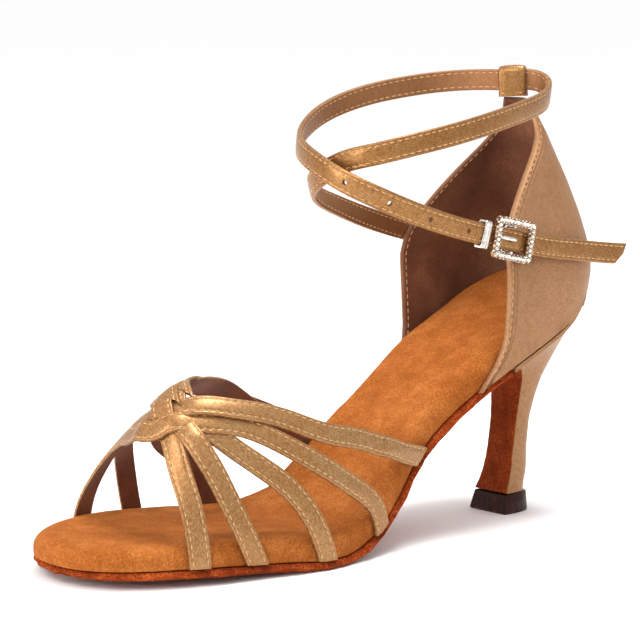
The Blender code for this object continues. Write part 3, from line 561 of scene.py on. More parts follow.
def satin(name, dark, middle, light, roughness=0.40, width=None):
    """Woven satin: a fine slanting twill, a few slubs and faint patches.

    A piece with a width, whose UV runs across it in metres, gets painted shade along its two seams and its
    edges.
    """
    made, flow, shader, body = new_material(name, Metallic=0.5, Specular_IOR_Level=0.3)
    spot = flow.node("UVMap", {"uv_map": "length"})
    turned = {"Vector": spot, "Rotation": (0.0, 0.0, 0.6), "Scale": (2600.0, 1100.0, 1.0)}
    twill = flow.noise(flow.node("Mapping", {}, turned), 1.0, 2.0)
    grain = flow.noise(body, 2200.0, 1.0)
    slubs, patches = flow.noise(body, 520.0, 2.0), flow.noise(body, 55.0, 2.0)
    weave = twill * 0.65 + grain * 0.35
    tone = weave * 0.72 + slubs * 0.16 + patches * 0.12
    colour = tone.ramp((0.36, dark), (0.50, middle), (0.64, light))
    height = weave * 0.8 + slubs * 0.3
    if width:
        # Painted shade: along the two seams and the turned edges, the colour is mixed towards a dark shadow
        # tone
        off_centre = flow.node("SeparateXYZ", {}, {0: spot}).maths("ABSOLUTE")
        to_seam = (off_centre - (width / 2 - SEAM_INSET)).maths("ABSOLUTE")
        seam_shade = 1 - to_seam.step(0.00012, 0.00050)
        edge_shade = off_centre.step(width / 2 - 0.0006, width / 2)
        shadow = tuple(0.30 * c for c in dark[:3]) + (1.0,)
        colour = (seam_shade * 0.62 + edge_shade * 0.7).mix(colour, shadow)
    dress(flow, shader, colour, roughness - 0.08 + weave * 0.18, height, 0.00005)
    return made


heel_satin = satin("heel_satin", tint(130, 88, 54), tint(150, 108, 70), tint(174, 132, 92), 0.44)
sections = heel_rings()
heel = skin("heel_block", place(*np.moveaxis(sections, -1, 0)), [heel_satin], caps=0)
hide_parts("heel")

# ---------------------------------------------------------------- breast cover
# The outsole's suede runs on down the front of the heel as a thin flap, glued flat, with the same raw edge.

COVER_FRAY = 0.00010

breast_suede = suede("breast_suede", tint(100, 36, 12), tint(134, 56, 18), tint(164, 78, 34), 1.2)
middle = FRONT_STEPS // 2
front = [*range(middle + HEEL_AROUND, FRONT_STEPS + HEEL_AROUND), *range(middle + 2)]
face = place(*np.moveaxis(sections[:-1][:, front], -1, 0))
normal = unit(np.cross(np.gradient(face, axis=0), np.gradient(face, axis=1)))
normal *= -np.sign(normal[:1, :1, 1:2])
share = np.linspace(-1, 1, face.shape[1])
swell = np.sqrt(1 - np.abs(share) ** 12 * 0.9)[None, :, None]
ragged = COVER_FRAY * np.sin(np.arange(len(face)) * 2.9) * np.sin(np.arange(len(face)) * 0.7)
wider = (share**9)[None, :, None] * (1.5 * COVER_FRAY + ragged[:, None, None])
face = face + unit(np.gradient(face, axis=1)) * wider
outer = face + normal * (GAP + COVER_THICKNESS * swell)
inner = face + normal * GAP
limit = HEEL_TIP_STATION - BREAST_STATION + GAP
for side in (outer, inner):
    side[..., 1] = np.maximum(side[..., 1], limit)
cover = skin("breast_cover", np.concatenate([outer, inner[:, ::-1]], axis=1), [breast_suede], caps=1)
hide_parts("heel_breast_cover")

# ---------------------------------------------------------------- heel tip
# Hard top piece in glossy dark plastic, nailed under the stem, wider at the floor and with eased edges.

# Share of the tip's thickness, growth of its section there
TIP_WALL = (
    (0.0, -0.0007),
    (0.02, -0.0003),
    (0.07, 0.0),
    (0.5, 0.0),
    (0.93, 0.0),
    (0.98, -0.0003),
    (1.0, -0.0008),
)

tip_plastic, flow, shader, body = new_material(
    "tip_plastic", Specular_IOR_Level=0.10, Coat_Weight=0.06, Coat_Roughness=0.15
)
scuffs = flow.noise(flow.node("Mapping", {}, {"Vector": body, "Scale": (900.0, 900.0, 90.0)}), 1.0, 4.0)
moulding = flow.noise(body, 700.0, 2.0)
near_floor = 1 - flow.node("SeparateXYZ", {}, {0: body}, out=2).step(0.0, 0.0012)
worn = near_floor * scuffs.step(0.45, 0.62)
shade = scuffs.ramp((0.35, tint(34, 12, 6)), (0.62, tint(56, 20, 12)), (0.78, tint(84, 40, 28)))
shade = worn.mix(shade, tint(112, 74, 66))
dress(flow, shader, shade, 0.24 + scuffs * 0.22 + worn * 0.3, moulding + scuffs * 0.5, 0.00006)

rings = []
for share, grow in TIP_WALL:
    row = [HEEL[0][k] + (HEEL[1][k] - HEEL[0][k]) * share for k in range(4)]
    section = stem_section(row, grow)
    section[:, 2] = share * HEEL_TIP_THICKNESS
    rings.append(place(*section.T))
tip = skin("heel_tip_cap", np.array(rings), [tip_plastic], caps=0)
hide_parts("heel_tip")

# ---------------------------------------------------------------- counter
# Closed heel cup: satin outside, brown lining inside, a stiffener between. Its top edge is folded over and
# sewn with two rows of light thread, and it narrows at the back to a tab. Its foot puckers where it is lasted.

COUNTER_RISE = 0.0642

# Share of the rise, back's station, front edge's station, half width and outer reach as shares of the seat's
# width, share by which the row has left the line of the sole
COUNTER = (
    (0.00, -0.045, 0.940, 0.520, 0.190, 0.00),
    (0.03, -0.054, 0.905, 0.520, 0.110, 0.12),
    (0.06, -0.063, 0.890, 0.517, 0.055, 0.30),
    (0.10, -0.072, 0.888, 0.510, 0.035, 0.60),
    (0.16, -0.075, 0.895, 0.492, 0.010, 1.00),
    (0.25, -0.055, 0.890, 0.460, 0.0, 1.00),
    (0.33, -0.028, 0.850, 0.430, 0.0, 1.00),
    (0.40, -0.002, 0.800, 0.400, 0.0, 1.00),
    (0.47, 0.030, 0.735, 0.370, 0.0, 1.00),
    (0.54, 0.062, 0.665, 0.338, 0.0, 1.00),
    (0.61, 0.097, 0.590, 0.304, 0.0, 1.00),
    (0.68, 0.135, 0.510, 0.268, 0.0, 1.00),
    (0.75, 0.170, 0.435, 0.228, 0.0, 1.00),
    (0.82, 0.206, 0.380, 0.190, 0.0, 1.00),
    (0.91, 0.272, 0.362, 0.152, 0.0, 1.00),
    (1.00, 0.345, 0.385, 0.134, 0.0, 1.00),
)


def bell(x, middle, width):
    """Bell curve: e to the minus square of the distance from its middle over its width."""
    return np.exp(-(((x - middle) / width) ** 2))


def rounded(from_edge, radius):
    """A quarter circle that rises from 0 at an edge to 1 at this distance from it."""
    return np.sqrt(np.clip(1 - (1 - np.minimum(from_edge / radius, 1)) ** 2, 0, 1))


def counter_wall(share, turn):
    """Middle of the wall: a quarter-circle plan from the back, leaving the sole's outline as the row rises."""
    back, front, half, reach, free = (smooth_curve(COUNTER, k, share)[:, None] for k in range(1, 6))
    back, half, outer_side = back * SEAT_WIDTH, half * SEAT_WIDTH, turn[None, :] > 0
    front = (front + np.where(outer_side, reach, 0)) * SEAT_WIDTH
    depth = (front - back) * (1 - np.cos(np.abs(turn) * np.pi / 2))
    station = back + depth
    free_width = half * np.sqrt(1 - np.clip(1 - depth / np.minimum(SEAT_ROUND, half), 0, 1) ** 2)
    seat = np.clip(station, 0.01 * SOLE_LENGTH, SOLE_LENGTH)
    flat = np.sqrt(1 - np.clip(1 - depth / SEAT_ROUND, 0, 1) ** 2)
    sole_width = np.where(outer_side, smooth_width(seat, 1), smooth_width(seat, -1))
    sole_width = (sole_width + COUNTER_THICKNESS / 2 + GAP - INSOLE_INSET) * flat
    width = (1 - free) * sole_width + free * free_width
    foot = (1 - free) * feather(np.maximum(station, 0)) + free * feather(0.0)
    return place(np.sign(turn) * width, station, foot + share[:, None] * COUNTER_RISE + GAP)


lining, flow, shader, body = new_material("lining_brown", Specular_IOR_Level=0.3, Sheen_Weight=0.1)
pores = flow.noise(body, 1400.0, 2.0)
cloud = flow.noise(body, 70.0) * 0.6 + pores * 0.4
shade = cloud.ramp((0.36, tint(96, 55, 33)), (0.52, tint(115, 70, 45)), (0.66, tint(135, 88, 59)))
dress(flow, shader, shade, 0.62 + pores * 0.2, pores, 0.00012)

counter_satin = satin("counter_satin", tint(138, 94, 61), tint(158, 115, 79), tint(180, 137, 99), 0.48)

LEVELS, AROUND = 110, 181
# Fold of the top edge, groove of each seam and ridge between them: distance from the edge, width, height
EDGE_RELIEF = (
    (0.0008, 0.0006, 0.00046),
    (0.0016, 0.00032, -0.00038),
    (0.0036, 0.00032, -0.00038),
    (0.0026, 0.0005, 0.00030),
)
PUCKER, PUCKER_RISE = 0.00022, 0.05

share = np.linspace(0, 1, LEVELS)
q = np.linspace(-1, 1, AROUND)
turn = np.sign(q) * (1 - (1 - np.abs(q)) ** 1.9)
turn[AROUND // 2] = 0.0
wall = counter_wall(share, turn)
normal = np.cross(np.gradient(wall, axis=0), np.gradient(wall, axis=1))
normal[..., 2] = 0
normal = unit(normal)
normal *= np.sign(normal[LEVELS // 2, AROUND * 3 // 4, 0])
gone = travelled(wall, 1)
rim = np.minimum(np.minimum(gone, gone[:, -1:] - gone), (1 - share[:, None]) * COUNTER_RISE)
relief = sum(rise * bell(rim, middle, width) for middle, width, rise in EDGE_RELIEF)
folds = np.sin(gone * 1500 + 2 * np.sin(gone * 310)) * np.sin(gone * 223) ** 2
relief = relief + PUCKER * bell(share, 0, PUCKER_RISE)[:, None] * folds
half = COUNTER_THICKNESS / 2 * (0.25 + 0.75 * rounded(rim, COUNTER_THICKNESS / 2))
outer = wall + normal * (half + relief)[..., None]
inner = wall - normal * half[..., None]
slots = np.repeat([0, 1], turn.size)
slots[turn.size - 1 : turn.size + 2] = 0
grid = np.concatenate([outer, inner[:, ::-1]], axis=1)
counter = skin("counter_shell", grid, [counter_satin, lining], slots=slots, caps=1, sharp=1.2)
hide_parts("counter")

STITCH_PITCH, STITCH_LENGTH, STITCH_WIDTH, STITCH_HEIGHT = 0.0025, 0.0018, 0.00042, 0.00034
STITCH_RINGS, STITCH_SIDES, COUNTER_SEAM = 6, 7, 0.0017

thread, flow, shader, body = new_material("thread", Specular_IOR_Level=0.4, Sheen_Weight=0.2)
twist = flow.noise(body, 2600.0, 1.0)
dress(flow, shader, twist.ramp((0.3, tint(170, 124, 76)), (0.7, tint(216, 170, 114))), 0.55, twist, 0.00008)


def closed_bodies(rings):
    """Corners and faces of many small closed bodies, whose rings come as body, ring, corner and axis."""
    bodies, count, sides = rings.shape[:3]
    r, c = np.meshgrid(np.arange(count - 1), np.arange(sides), indexing="ij")
    n = (c + 1) % sides
    quads = np.stack([r * sides + c, r * sides + n, (r + 1) * sides + n, (r + 1) * sides + c], -1)
    ends = np.stack([np.arange(sides)[::-1], (count - 1) * sides + np.arange(sides)])
    start = np.arange(bodies)[:, None, None] * count * sides
    faces = (quads.reshape(-1, 4) + start).reshape(-1, 4).tolist()
    faces += (ends + start).reshape(-1, sides).tolist()
    return rings.reshape(-1, 3), faces


def joined(groups):
    """Corners and faces of several groups as one."""
    points, faces, base = [], [], 0
    for corners, sides in groups:
        faces += [[base + k for k in face] for face in sides]
        points.append(corners)
        base += len(corners)
    return np.concatenate(points), faces


def stitches(rail, outward, gap=0.0):
    """Corners and faces of stitches along a rail: each an ellipsoid of latitude rings with blunt ends."""
    gone = travelled(rail, 0)
    count = max(int((gone[-1] - 2 * gap) / STITCH_PITCH), 1)
    at = gap + (np.arange(count) + 0.5) * (gone[-1] - 2 * gap) / count
    nearby = STITCH_LENGTH / 4.5
    along = unit(read_at(at + nearby, gone, rail) - read_at(at - nearby, gone, rail))
    out = read_at(at, gone, outward)
    out = unit(out - along * (out * along).sum(axis=1, keepdims=True))
    lat = np.linspace(0.12, np.pi - 0.12, STITCH_RINGS)[:, None]
    lon = np.arange(STITCH_SIDES) * 2 * np.pi / STITCH_SIDES
    x = -np.cos(lat) * STITCH_LENGTH / 2
    y = np.sin(lat) * np.cos(lon) * STITCH_WIDTH / 2
    z = np.sin(lat) * np.sin(lon) * STITCH_HEIGHT / 2 + STITCH_HEIGHT * 0.15
    shape = np.stack(np.broadcast_arrays(x, y, z), axis=-1)
    basis = np.stack([along, np.cross(along, out), out], axis=1)
    return closed_bodies(read_at(at, gone, rail)[:, None, None] + np.einsum("rck,nkj->nrcj", shape, basis))


def sew(name, rows):
    """One object of all these rows of stitches."""
    obj = new_piece(name, *joined(rows), [thread])
    obj.data.shade_smooth()


def edge_rail(wall, values, distance, side, low, high):
    """Values on the line at a distance from a wall's front edge, from one row to another."""
    if side > 0:
        wall, values = wall[:, ::-1], values[:, ::-1]
    gone = travelled(wall, 1)
    return np.array([read_at(distance, gone[r], values[r]) for r in range(low, high)])


rows = []
for face, way in ((outer, normal), (inner, -normal)):
    for side in (1, -1):
        rail, looks = (edge_rail(face, values, COUNTER_SEAM, side, 2, 101) for values in (face, way))
        rows.append(stitches(rail, looks))
sew("counter_stitches", rows)

# ---------------------------------------------------------------- vamp
# Five satin straps over the forefoot, lined in brown: two go each way, woven, and the fifth runs beneath them.
# Their edges are turned in and sewn, and their ends go down between the footbed and the outsole.

STRAP_WIDTH, STRAP_THICKNESS, WEAVE_LIFT, INSTEP_HEIGHT = 0.0072, 0.0016, 0.0008, 0.0760
# The shells are thinner than the model's straps and lift further, so that they pass clear of each other
SHELL_THICKNESS, LIFT_SHARE, STRAP_STEPS = 0.0012, 1.8, 300
CROWN, SEAM_DIP, SEAM_SPREAD = 0.00016, 0.00020, 0.00038

# Last over the forefoot: share of the sole's length, ridge height as a share of the instep's,
# ridge's distance outward as a share of the ball's width, roundness of the outer side, of the inner side
LAST = (
    (0.36, 1.000, 0.000, 0.95, 0.70),
    (0.54, 0.905, 0.027, 0.90, 0.50),
    (0.68, 0.825, 0.040, 0.85, 0.35),
    (0.76, 0.775, 0.054, 0.85, 0.25),
    (0.80, 0.722, 0.054, 0.85, 0.25),
    (0.83, 0.660, 0.054, 0.85, 0.22),
    (0.85, 0.580, 0.054, 0.85, 0.20),
    (0.93, 0.350, 0.040, 0.85, 0.20),
)

# Places of each strap on the last: share of the sole's length, share of the way over from the outer side, lift
# in weave steps
STRAPS = {
    "a": (
        (0.756, 0.00, 0),
        (0.790, 0.11, 0),
        (0.808, 0.21, 0.5),
        (0.815, 0.28, 0.5),
        (0.817, 0.37, -0.5),
        (0.805, 0.45, -0.5),
        (0.764, 0.57, 0),
        (0.718, 0.65, 0),
        (0.615, 0.755, 0),
        (0.550, 0.81, 0),
        (0.474, 0.89, 0),
        (0.402, 1.00, 0),
    ),
    "b": (
        (0.846, 0.00, 0),
        (0.848, 0.09, 0),
        (0.848, 0.17, 0),
        (0.846, 0.26, -0.5),
        (0.837, 0.36, -0.5),
        (0.825, 0.45, 0.5),
        (0.795, 0.54, 0.5),
        (0.735, 0.62, -0.5),
        (0.645, 0.71, -0.5),
        (0.557, 0.81, -0.5),
        (0.487, 0.90, 0),
        (0.432, 1.00, 0),
    ),
    "c": (
        (0.637, 0.000, 0),
        (0.661, 0.065, 0),
        (0.690, 0.117, 0),
        (0.726, 0.166, -0.5),
        (0.759, 0.220, -1.1),
        (0.789, 0.295, -1.1),
        (0.808, 0.380, -1.1),
        (0.810, 0.480, -1.1),
        (0.797, 0.610, -0.6),
        (0.760, 0.740, 0),
        (0.718, 0.824, 0),
        (0.668, 0.872, 0),
        (0.622, 0.922, 0),
        (0.585, 1.000, 0),
    ),
    "d": (
        (0.512, 0.000, 0),
        (0.524, 0.040, 0),
        (0.568, 0.094, 0),
        (0.638, 0.158, 0),
        (0.691, 0.212, -0.2),
        (0.741, 0.266, -0.5),
        (0.793, 0.318, -0.5),
        (0.835, 0.400, 0.5),
        (0.850, 0.490, 0.5),
        (0.848, 0.600, 0),
        (0.836, 0.690, 0),
        (0.822, 0.790, 0),
        (0.826, 0.880, 0),
        (0.830, 1.000, 0),
    ),
    "e": (
        (0.402, 0.000, 0),
        (0.474, 0.101, 0),
        (0.551, 0.172, 0),
        (0.618, 0.211, 0),
        (0.672, 0.256, 0.2),
        (0.710, 0.285, 0.5),
        (0.747, 0.315, 0.5),
        (0.787, 0.367, 0.5),
        (0.815, 0.440, -0.5),
        (0.826, 0.560, -0.5),
        (0.822, 0.690, 0),
        (0.797, 0.800, 0),
        (0.762, 0.890, 0),
        (0.728, 1.000, 0),
    ),
}


def spline_through(points, count):
    """Evenly spaced points on the natural cubic spline, whose second derivatives solve a band of equations."""
    points = np.array(points, float)
    lengths = np.linalg.norm(np.diff(points[:, :3], axis=0), axis=1)
    at = np.concatenate([[0], np.cumsum(lengths)])
    n = len(points)
    matrix, right = np.eye(n), np.zeros((n, points.shape[1]))
    for i in range(1, n - 1):
        matrix[i, i - 1 : i + 2] = lengths[i - 1], 2 * (lengths[i - 1] + lengths[i]), lengths[i]
        rise = (points[i + 1] - points[i]) / lengths[i] - (points[i] - points[i - 1]) / lengths[i - 1]
        right[i] = 6 * rise
    bend = np.linalg.solve(matrix, right)
    where = np.linspace(0, at[-1], count)
    i = np.clip(np.searchsorted(at, where, side="right") - 1, 0, n - 2)
    step, t = lengths[i][:, None], (where - at[i])[:, None]
    slope = (points[i + 1] - points[i]) / step - step * (2 * bend[i] + bend[i + 1]) / 6
    return points[i] + slope * t + bend[i] / 2 * t**2 + (bend[i + 1] - bend[i]) / (6 * step) * t**3


def last_point(station, over):
    """Place on the last: a cosine outward from the ridge to the edge, a sine up from the sole to the ridge."""
    share = station / SOLE_LENGTH
    outer_side = over < 0.5
    clearance = GAP + STRAP_THICKNESS / 2 - INSOLE_INSET
    edge = np.where(outer_side, half_width(station, 1) + clearance, -half_width(station, -1) - clearance)
    ridge = smooth_curve(LAST, 2, share) * BALL_WIDTH
    top = smooth_curve(LAST, 1, share) * INSTEP_HEIGHT
    rounded = np.where(outer_side, smooth_curve(LAST, 3, share), smooth_curve(LAST, 4, share))
    swing = np.abs(np.cos(np.pi * over))
    outward = ridge + (edge - ridge) * swing * (rounded + (1 - rounded) * swing**1.6)
    base = feather(station) + GAP
    return place(outward, station, base + (top - base) * np.sin(np.pi * over) ** 0.95)


def strap_grid(rows, count, across):
    """Middle surface of a strap on the last, its normals and its lift.

    A rung lies square to the strap, and turns to the sole's edge over the last strap's width.
    """
    table = np.array([(share * SOLE_LENGTH, over, lift) for share, over, lift in rows])
    points = last_point(table[:, 0], table[:, 1])
    route = spline_through(np.column_stack([points, table[:, :2]]), count)
    station, over = route[:, 3], np.clip(route[:, 4], 0, 1)
    d = 1e-4
    along_station = (last_point(station + d, over) - last_point(station - d, over)) / (2 * d)
    low, high = np.clip(over - d, 0, 1), np.clip(over + d, 0, 1)
    along_over = (last_point(station, high) - last_point(station, low)) / (high - low)[:, None]
    centre = last_point(station, over)
    along = unit(np.gradient(centre, axis=0))
    normal = unit(np.cross(along_over, along_station))
    square = unit(np.cross(normal, along))
    edgewise = unit(along_station)
    edgewise *= np.sign((edgewise * square).sum(axis=1, keepdims=True))
    distance = travelled(centre, 0)
    to_end = np.minimum(distance, distance[-1] - distance)
    slant = np.clip(1 - to_end / STRAP_WIDTH, 0, 1)[:, None]
    rung = unit(square * (1 - slant) + edgewise * slant)
    reach = STRAP_WIDTH / 2 / (rung * square).sum(axis=1)
    s, o = along_station, along_over
    a, b, c = ((u * v).sum(axis=1) for u, v in ((s, s), (s, o), (o, o)))
    p, q = ((rung * v).sum(axis=1) * reach for v in (s, o))
    both = a * c - b * b
    stations = station[:, None] + ((c * p - b * q) / both)[:, None] * across
    overs = np.clip(over[:, None] + ((a * q - b * p) / both)[:, None] * across, 0, 1)
    places = travelled(points, 0)
    lift_rows = list(zip(places / places[-1], table[:, 2]))
    lift = smooth_curve(lift_rows, 1, distance / distance[-1]) * WEAVE_LIFT
    return last_point(stations, overs), normal, lift


def strap_section(width):
    """Places across a strap from -1 to 1, closer together at its edges and on its two seams."""
    seam = 1 - 2 * SEAM_INSET / width
    half_row = np.array([0.0, 0.3, 0.52, seam - 0.09, seam, seam + 0.09, 0.84, 0.91, 0.955, 0.985, 1.0])
    return np.concatenate([-half_row[:0:-1], half_row])


def strap_shell(name, middle, normal, across, width, thickness, materials):
    """Strap round a middle surface: edges rounded as a circle, a low crown, and a dip that each stitch pulls.

    Gives the piece, and its outer and inner faces for the thread. The UV is the place across and along.
    """
    rim = (1 - np.abs(across)) * width / 2
    half = thickness / 2 * (0.35 + 0.65 * rounded(rim, 0.35 * thickness))
    gone = travelled(middle[:, len(across) // 2], 0)[:, None]
    pull = 0.7 - 0.3 * np.cos(2 * np.pi * gone / STITCH_PITCH)
    dip = SEAM_DIP * bell(rim, SEAM_INSET, SEAM_SPREAD) * pull
    outer = middle + normal * (half + CROWN * (1 - across**2) - dip)[..., None]
    inner = middle - normal * (half - dip / 2)[..., None]
    n = len(across)
    u = np.concatenate([across, across[::-1], across[:1]]) * width / 2
    uv = np.stack(np.broadcast_arrays(u[None, :], gone), axis=-1)
    slots = np.repeat([0, 1], n)
    slots[[n, n - 1, 2 * n - 1]] = 0
    grid = np.concatenate([outer, inner[:, ::-1]], axis=1)
    return skin(name, grid, materials, slots=slots, caps=1, uv=uv, sharp=1.2), outer, inner


def seams(faces, across, width):
    """Two rows of stitches on each of these faces of a strap, each given with the way that it looks."""
    rows = []
    for face, normal in faces:
        for side in (-1, 1):
            column = np.abs(across - side * (1 - 2 * SEAM_INSET / width)).argmin()
            looks = np.broadcast_to(normal, face.shape)[:, column]
            rows.append(stitches(face[:, column], looks, STRAP_WIDTH / 12))
    return rows


brightest = tint(255, 232, 176)
strap_satin = satin("strap_satin", tint(164, 106, 56), tint(234, 172, 106), brightest, 0.30, STRAP_WIDTH)

across = strap_section(STRAP_WIDTH)
rows = []
for letter, table in STRAPS.items():
    middle, normal, lift = strap_grid(table, STRAP_STEPS, across)
    normal = normal[:, None, :]
    lifted = middle + normal * lift[:, None, None] * LIFT_SHARE
    strap, outer, inner = strap_shell(
        "vamp_strap_" + letter, lifted, normal, across, STRAP_WIDTH, SHELL_THICKNESS, [strap_satin, lining]
    )
    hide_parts("vamp")
    rows += seams([(outer, normal)], across, STRAP_WIDTH)
sew("vamp_stitches", rows)

# ---------------------------------------------------------------- ankle strap
# One long satin strap, sewn to the inner front corner of the counter: it goes round the front, back through the
# loop, round the front again and through the buckle to a slanted end. Punched holes let it be drawn tighter.

ANKLE_STRAP_WIDTH, ANKLE_STRAP_THICKNESS, ANKLE_CENTRE, ANKLE_SPAN = 0.0072, 0.0018, 0.052, 0.100
STRAP_END_SLANT, STRAP_END_CUT, BUCKLE_PLACE, LOOP_PLACE = 0.5, 0.0042, 33, 17
CAD_STEPS, ANKLE_STEPS = 400, 1100
# Distances of the spare holes from the pin's own
HOLES, HOLE_RADIUS, HOLE_SIDES, PUNCH_REACH = (0.0200, 0.0363, 0.0522, 0.0679), 0.00085, 20, 0.003

# Distance outward, station and height above the seat as shares of the ankle's span, and lean of the face
ANKLE_ROUTE = (
    (-0.276, 0.380, 0.190, 0.30),
    (-0.271, 0.440, 0.207, 0.30),
    (-0.266, 0.500, 0.223, 0.26),
    (-0.232, 0.668, 0.268, 0.10),
    (-0.165, 0.880, 0.332, 0.0),
    (-0.060, 1.065, 0.412, 0.0),
    (0.010, 1.089, 0.448, 0.0),
    (0.112, 1.077, 0.497, 0.0),
    (0.210, 1.040, 0.524, 0.0),
    (0.270, 0.948, 0.549, 0.0),
    (0.300, 0.748, 0.586, 0.0),
    (0.272, 0.530, 0.622, 0.0),
    (0.212, 0.325, 0.654, 0.0),
    (0.150, 0.200, 0.685, 0.0),
    (0.105, 0.160, 0.712, 0.0),
    (0.060, 0.155, 0.730, 0.0),
    (0.020, 0.175, 0.736, 0.0),
    (-0.020, 0.203, 0.734, 0.0),
    (-0.070, 0.232, 0.733, 0.0),
    (-0.130, 0.262, 0.732, 0.0),
    (-0.215, 0.325, 0.726, 0.0),
    (-0.268, 0.475, 0.709, 0.0),
    (-0.290, 0.620, 0.686, 0.0),
    (-0.290, 0.780, 0.646, 0.0),
    (-0.245, 0.918, 0.600, 0.0),
    (-0.150, 1.045, 0.548, 0.0),
    (-0.030, 1.115, 0.514, 0.0),
    (0.095, 1.134, 0.471, 0.0),
    (0.178, 1.112, 0.433, 0.0),
    (0.240, 1.070, 0.400, 0.0),
    (0.285, 0.962, 0.349, 0.0),
    (0.305, 0.824, 0.300, 0.0),
    (0.308, 0.668, 0.258, 0.0),
    (0.304, 0.520, 0.226, 0.0),
    (0.302, 0.380, 0.196, 0.0),
    (0.296, 0.204, 0.170, 0.0),
    (0.292, 0.028, 0.148, 0.0),
    (0.294, -0.020, 0.143, 0.0),
)


def strap_route(rows, count):
    """Spline through the table's places, its direction, its way out from the ankle, and its width's way."""
    centre = spline_through(np.array(rows) * (ANKLE_SPAN, ANKLE_SPAN, ANKLE_SPAN, 1), count)
    middle = place(centre[:, 0], centre[:, 1], SEAT_HEIGHT + centre[:, 2])
    along = unit(np.gradient(middle, axis=0))
    away = unit(np.stack([centre[:, 0], -0.7 * (centre[:, 1] - ANKLE_CENTRE), 0 * centre[:, 0]], axis=-1))
    away[:, 2] = centre[:, 3]
    normal = unit(away - along * (away * along).sum(axis=1, keepdims=True))
    up = unit(np.cross(along, normal))
    return middle, along, normal, up * np.sign(up[:, 2:3])


def frame_at(index):
    """Centre and directions of the ankle strap at one of its table's places, on the steps that the CAD has."""
    middle, along, normal, up = strap_route(ANKLE_ROUTE, CAD_STEPS)
    outward, station, height = np.array(ANKLE_ROUTE[index][:3]) * ANKLE_SPAN
    nearest = np.linalg.norm(middle - place(outward, station, SEAT_HEIGHT + height), axis=1).argmin()
    return middle[nearest], along[nearest], normal[nearest], up[nearest]


def seated(points, frame):
    """Points given along the strap, out of it and up, moved to a place on it."""
    centre, along, normal, up = frame
    return points @ np.array([along, normal, up]) + centre


shades = tint(154, 98, 48), tint(220, 154, 86), tint(255, 212, 142)
ankle_satin = satin("ankle_satin", *shades, 0.31, ANKLE_STRAP_WIDTH)
shades = tint(176, 116, 74), tint(212, 150, 98), tint(234, 176, 122)
ankle_lining = satin("ankle_lining", *shades, 0.48, ANKLE_STRAP_WIDTH)

across = strap_section(ANKLE_STRAP_WIDTH)
middle, along, normal, up = strap_route(ANKLE_ROUTE, ANKLE_STEPS)
to_end = np.linalg.norm(middle - middle[-1], axis=1) / ANKLE_STRAP_WIDTH
slant = STRAP_END_SLANT * np.clip(1 - to_end, 0, 1)[:, None]
rung = (up + along * slant) * ANKLE_STRAP_WIDTH / 2
ribbon = middle[:, None, :] + rung[:, None, :] * across[:, None]
ribbon = ribbon - (along * slant * STRAP_END_CUT)[:, None, :] * np.maximum(-across, 0)[:, None]
normal = normal[:, None, :]
sizes = across, ANKLE_STRAP_WIDTH, ANKLE_STRAP_THICKNESS
ankle, outer, inner = strap_shell("ankle_strap_satin", ribbon, normal, *sizes, [ankle_satin, ankle_lining])

gone = travelled(middle, 0)
buckle = frame_at(BUCKLE_PLACE)
at_buckle = gone[np.linalg.norm(middle - buckle[0], axis=1).argmin()]
turn = np.arange(HOLE_SIDES) * 2 * np.pi / HOLE_SIDES
circle = np.stack([np.cos(turn), 0 * turn, np.sin(turn)], axis=-1) * HOLE_RADIUS
rings = np.array([circle - (0, PUNCH_REACH, 0), circle + (0, PUNCH_REACH, 0)])
punches = []
for distance in (0.0, *HOLES):
    k = np.searchsorted(gone, at_buckle - distance)
    there = (middle[k], along[k], normal[k, 0], up[k])
    punches.append(skin("punch", seated(rings, there), [ankle_lining], caps=0))
for punch in punches:
    cut = ankle.modifiers.new("hole", "BOOLEAN")
    cut.operation, cut.solver, cut.object = "DIFFERENCE", "EXACT", punch
evaluated = ankle.evaluated_get(bpy.context.evaluated_depsgraph_get())
ankle_mesh = bpy.data.meshes.new_from_object(evaluated)
ankle.modifiers.clear()
ankle.data = ankle_mesh
for punch in punches:
    bpy.data.objects.remove(punch)
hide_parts("ankle_strap")
sew("ankle_stitches", seams([(outer, normal), (inner, -normal)], across, ANKLE_STRAP_WIDTH))

# ---------------------------------------------------------------- strap loop
# Leaf of satin folded over the ankle strap and sewn down on both faces of the counter's tab, which keeps the
# strap up at the back of the ankle.

LOOP_WALL, LOOP_WIDTH, LOOP_SLACK, LOOP_ROW = 0.0009, 0.0100, 0.0002, 0.0042
EDGE_SWELL, MIDDLE_SWELL, EDGE_DIP, PINCH = 0.00045, 0.00035, 0.00016, 0.05

loop_frame = frame_at(LOOP_PLACE)
foot = loop_frame[0][2] - feather(0.0) - COUNTER_RISE - 2 * GAP
deep = ANKLE_STRAP_THICKNESS / 2 + GAP + LOOP_SLACK + LOOP_WALL / 2
high = ANKLE_STRAP_WIDTH / 2 + GAP + LOOP_WALL / 2
corner = deep * 0.97
bend = np.linspace(0, np.pi / 2, 9)
front_side = np.stack([np.full(14, deep), np.linspace(-foot, high - corner, 14)], axis=-1)
front_bend = (deep - corner, high - corner) + corner * np.stack([np.cos(bend), np.sin(bend)], axis=-1)
half_path = np.concatenate([front_side, front_bend[1:]])
path = np.concatenate([half_path, half_path[::-1] * (-1, 1)])
around = unit(np.gradient(path, axis=0))
out = np.stack([around[:, 1], -around[:, 0]], axis=-1)
out *= np.sign((out[:1] * (1, 0)).sum())
across = np.linspace(-1, 1, 15)
rim = (1 - np.abs(across)) * LOOP_WIDTH / 2
swell = EDGE_SWELL * rounded(rim, EDGE_SWELL) + MIDDLE_SWELL * (1 - across**2)
swell = swell - EDGE_DIP * bell(rim, SEAM_INSET, 0.0004)
pinch = 0.96 - PINCH * (bell(path[:, 1], -0.9 * high, 0.0022) + bell(path[:, 1], high, 0.0012))
faces = []
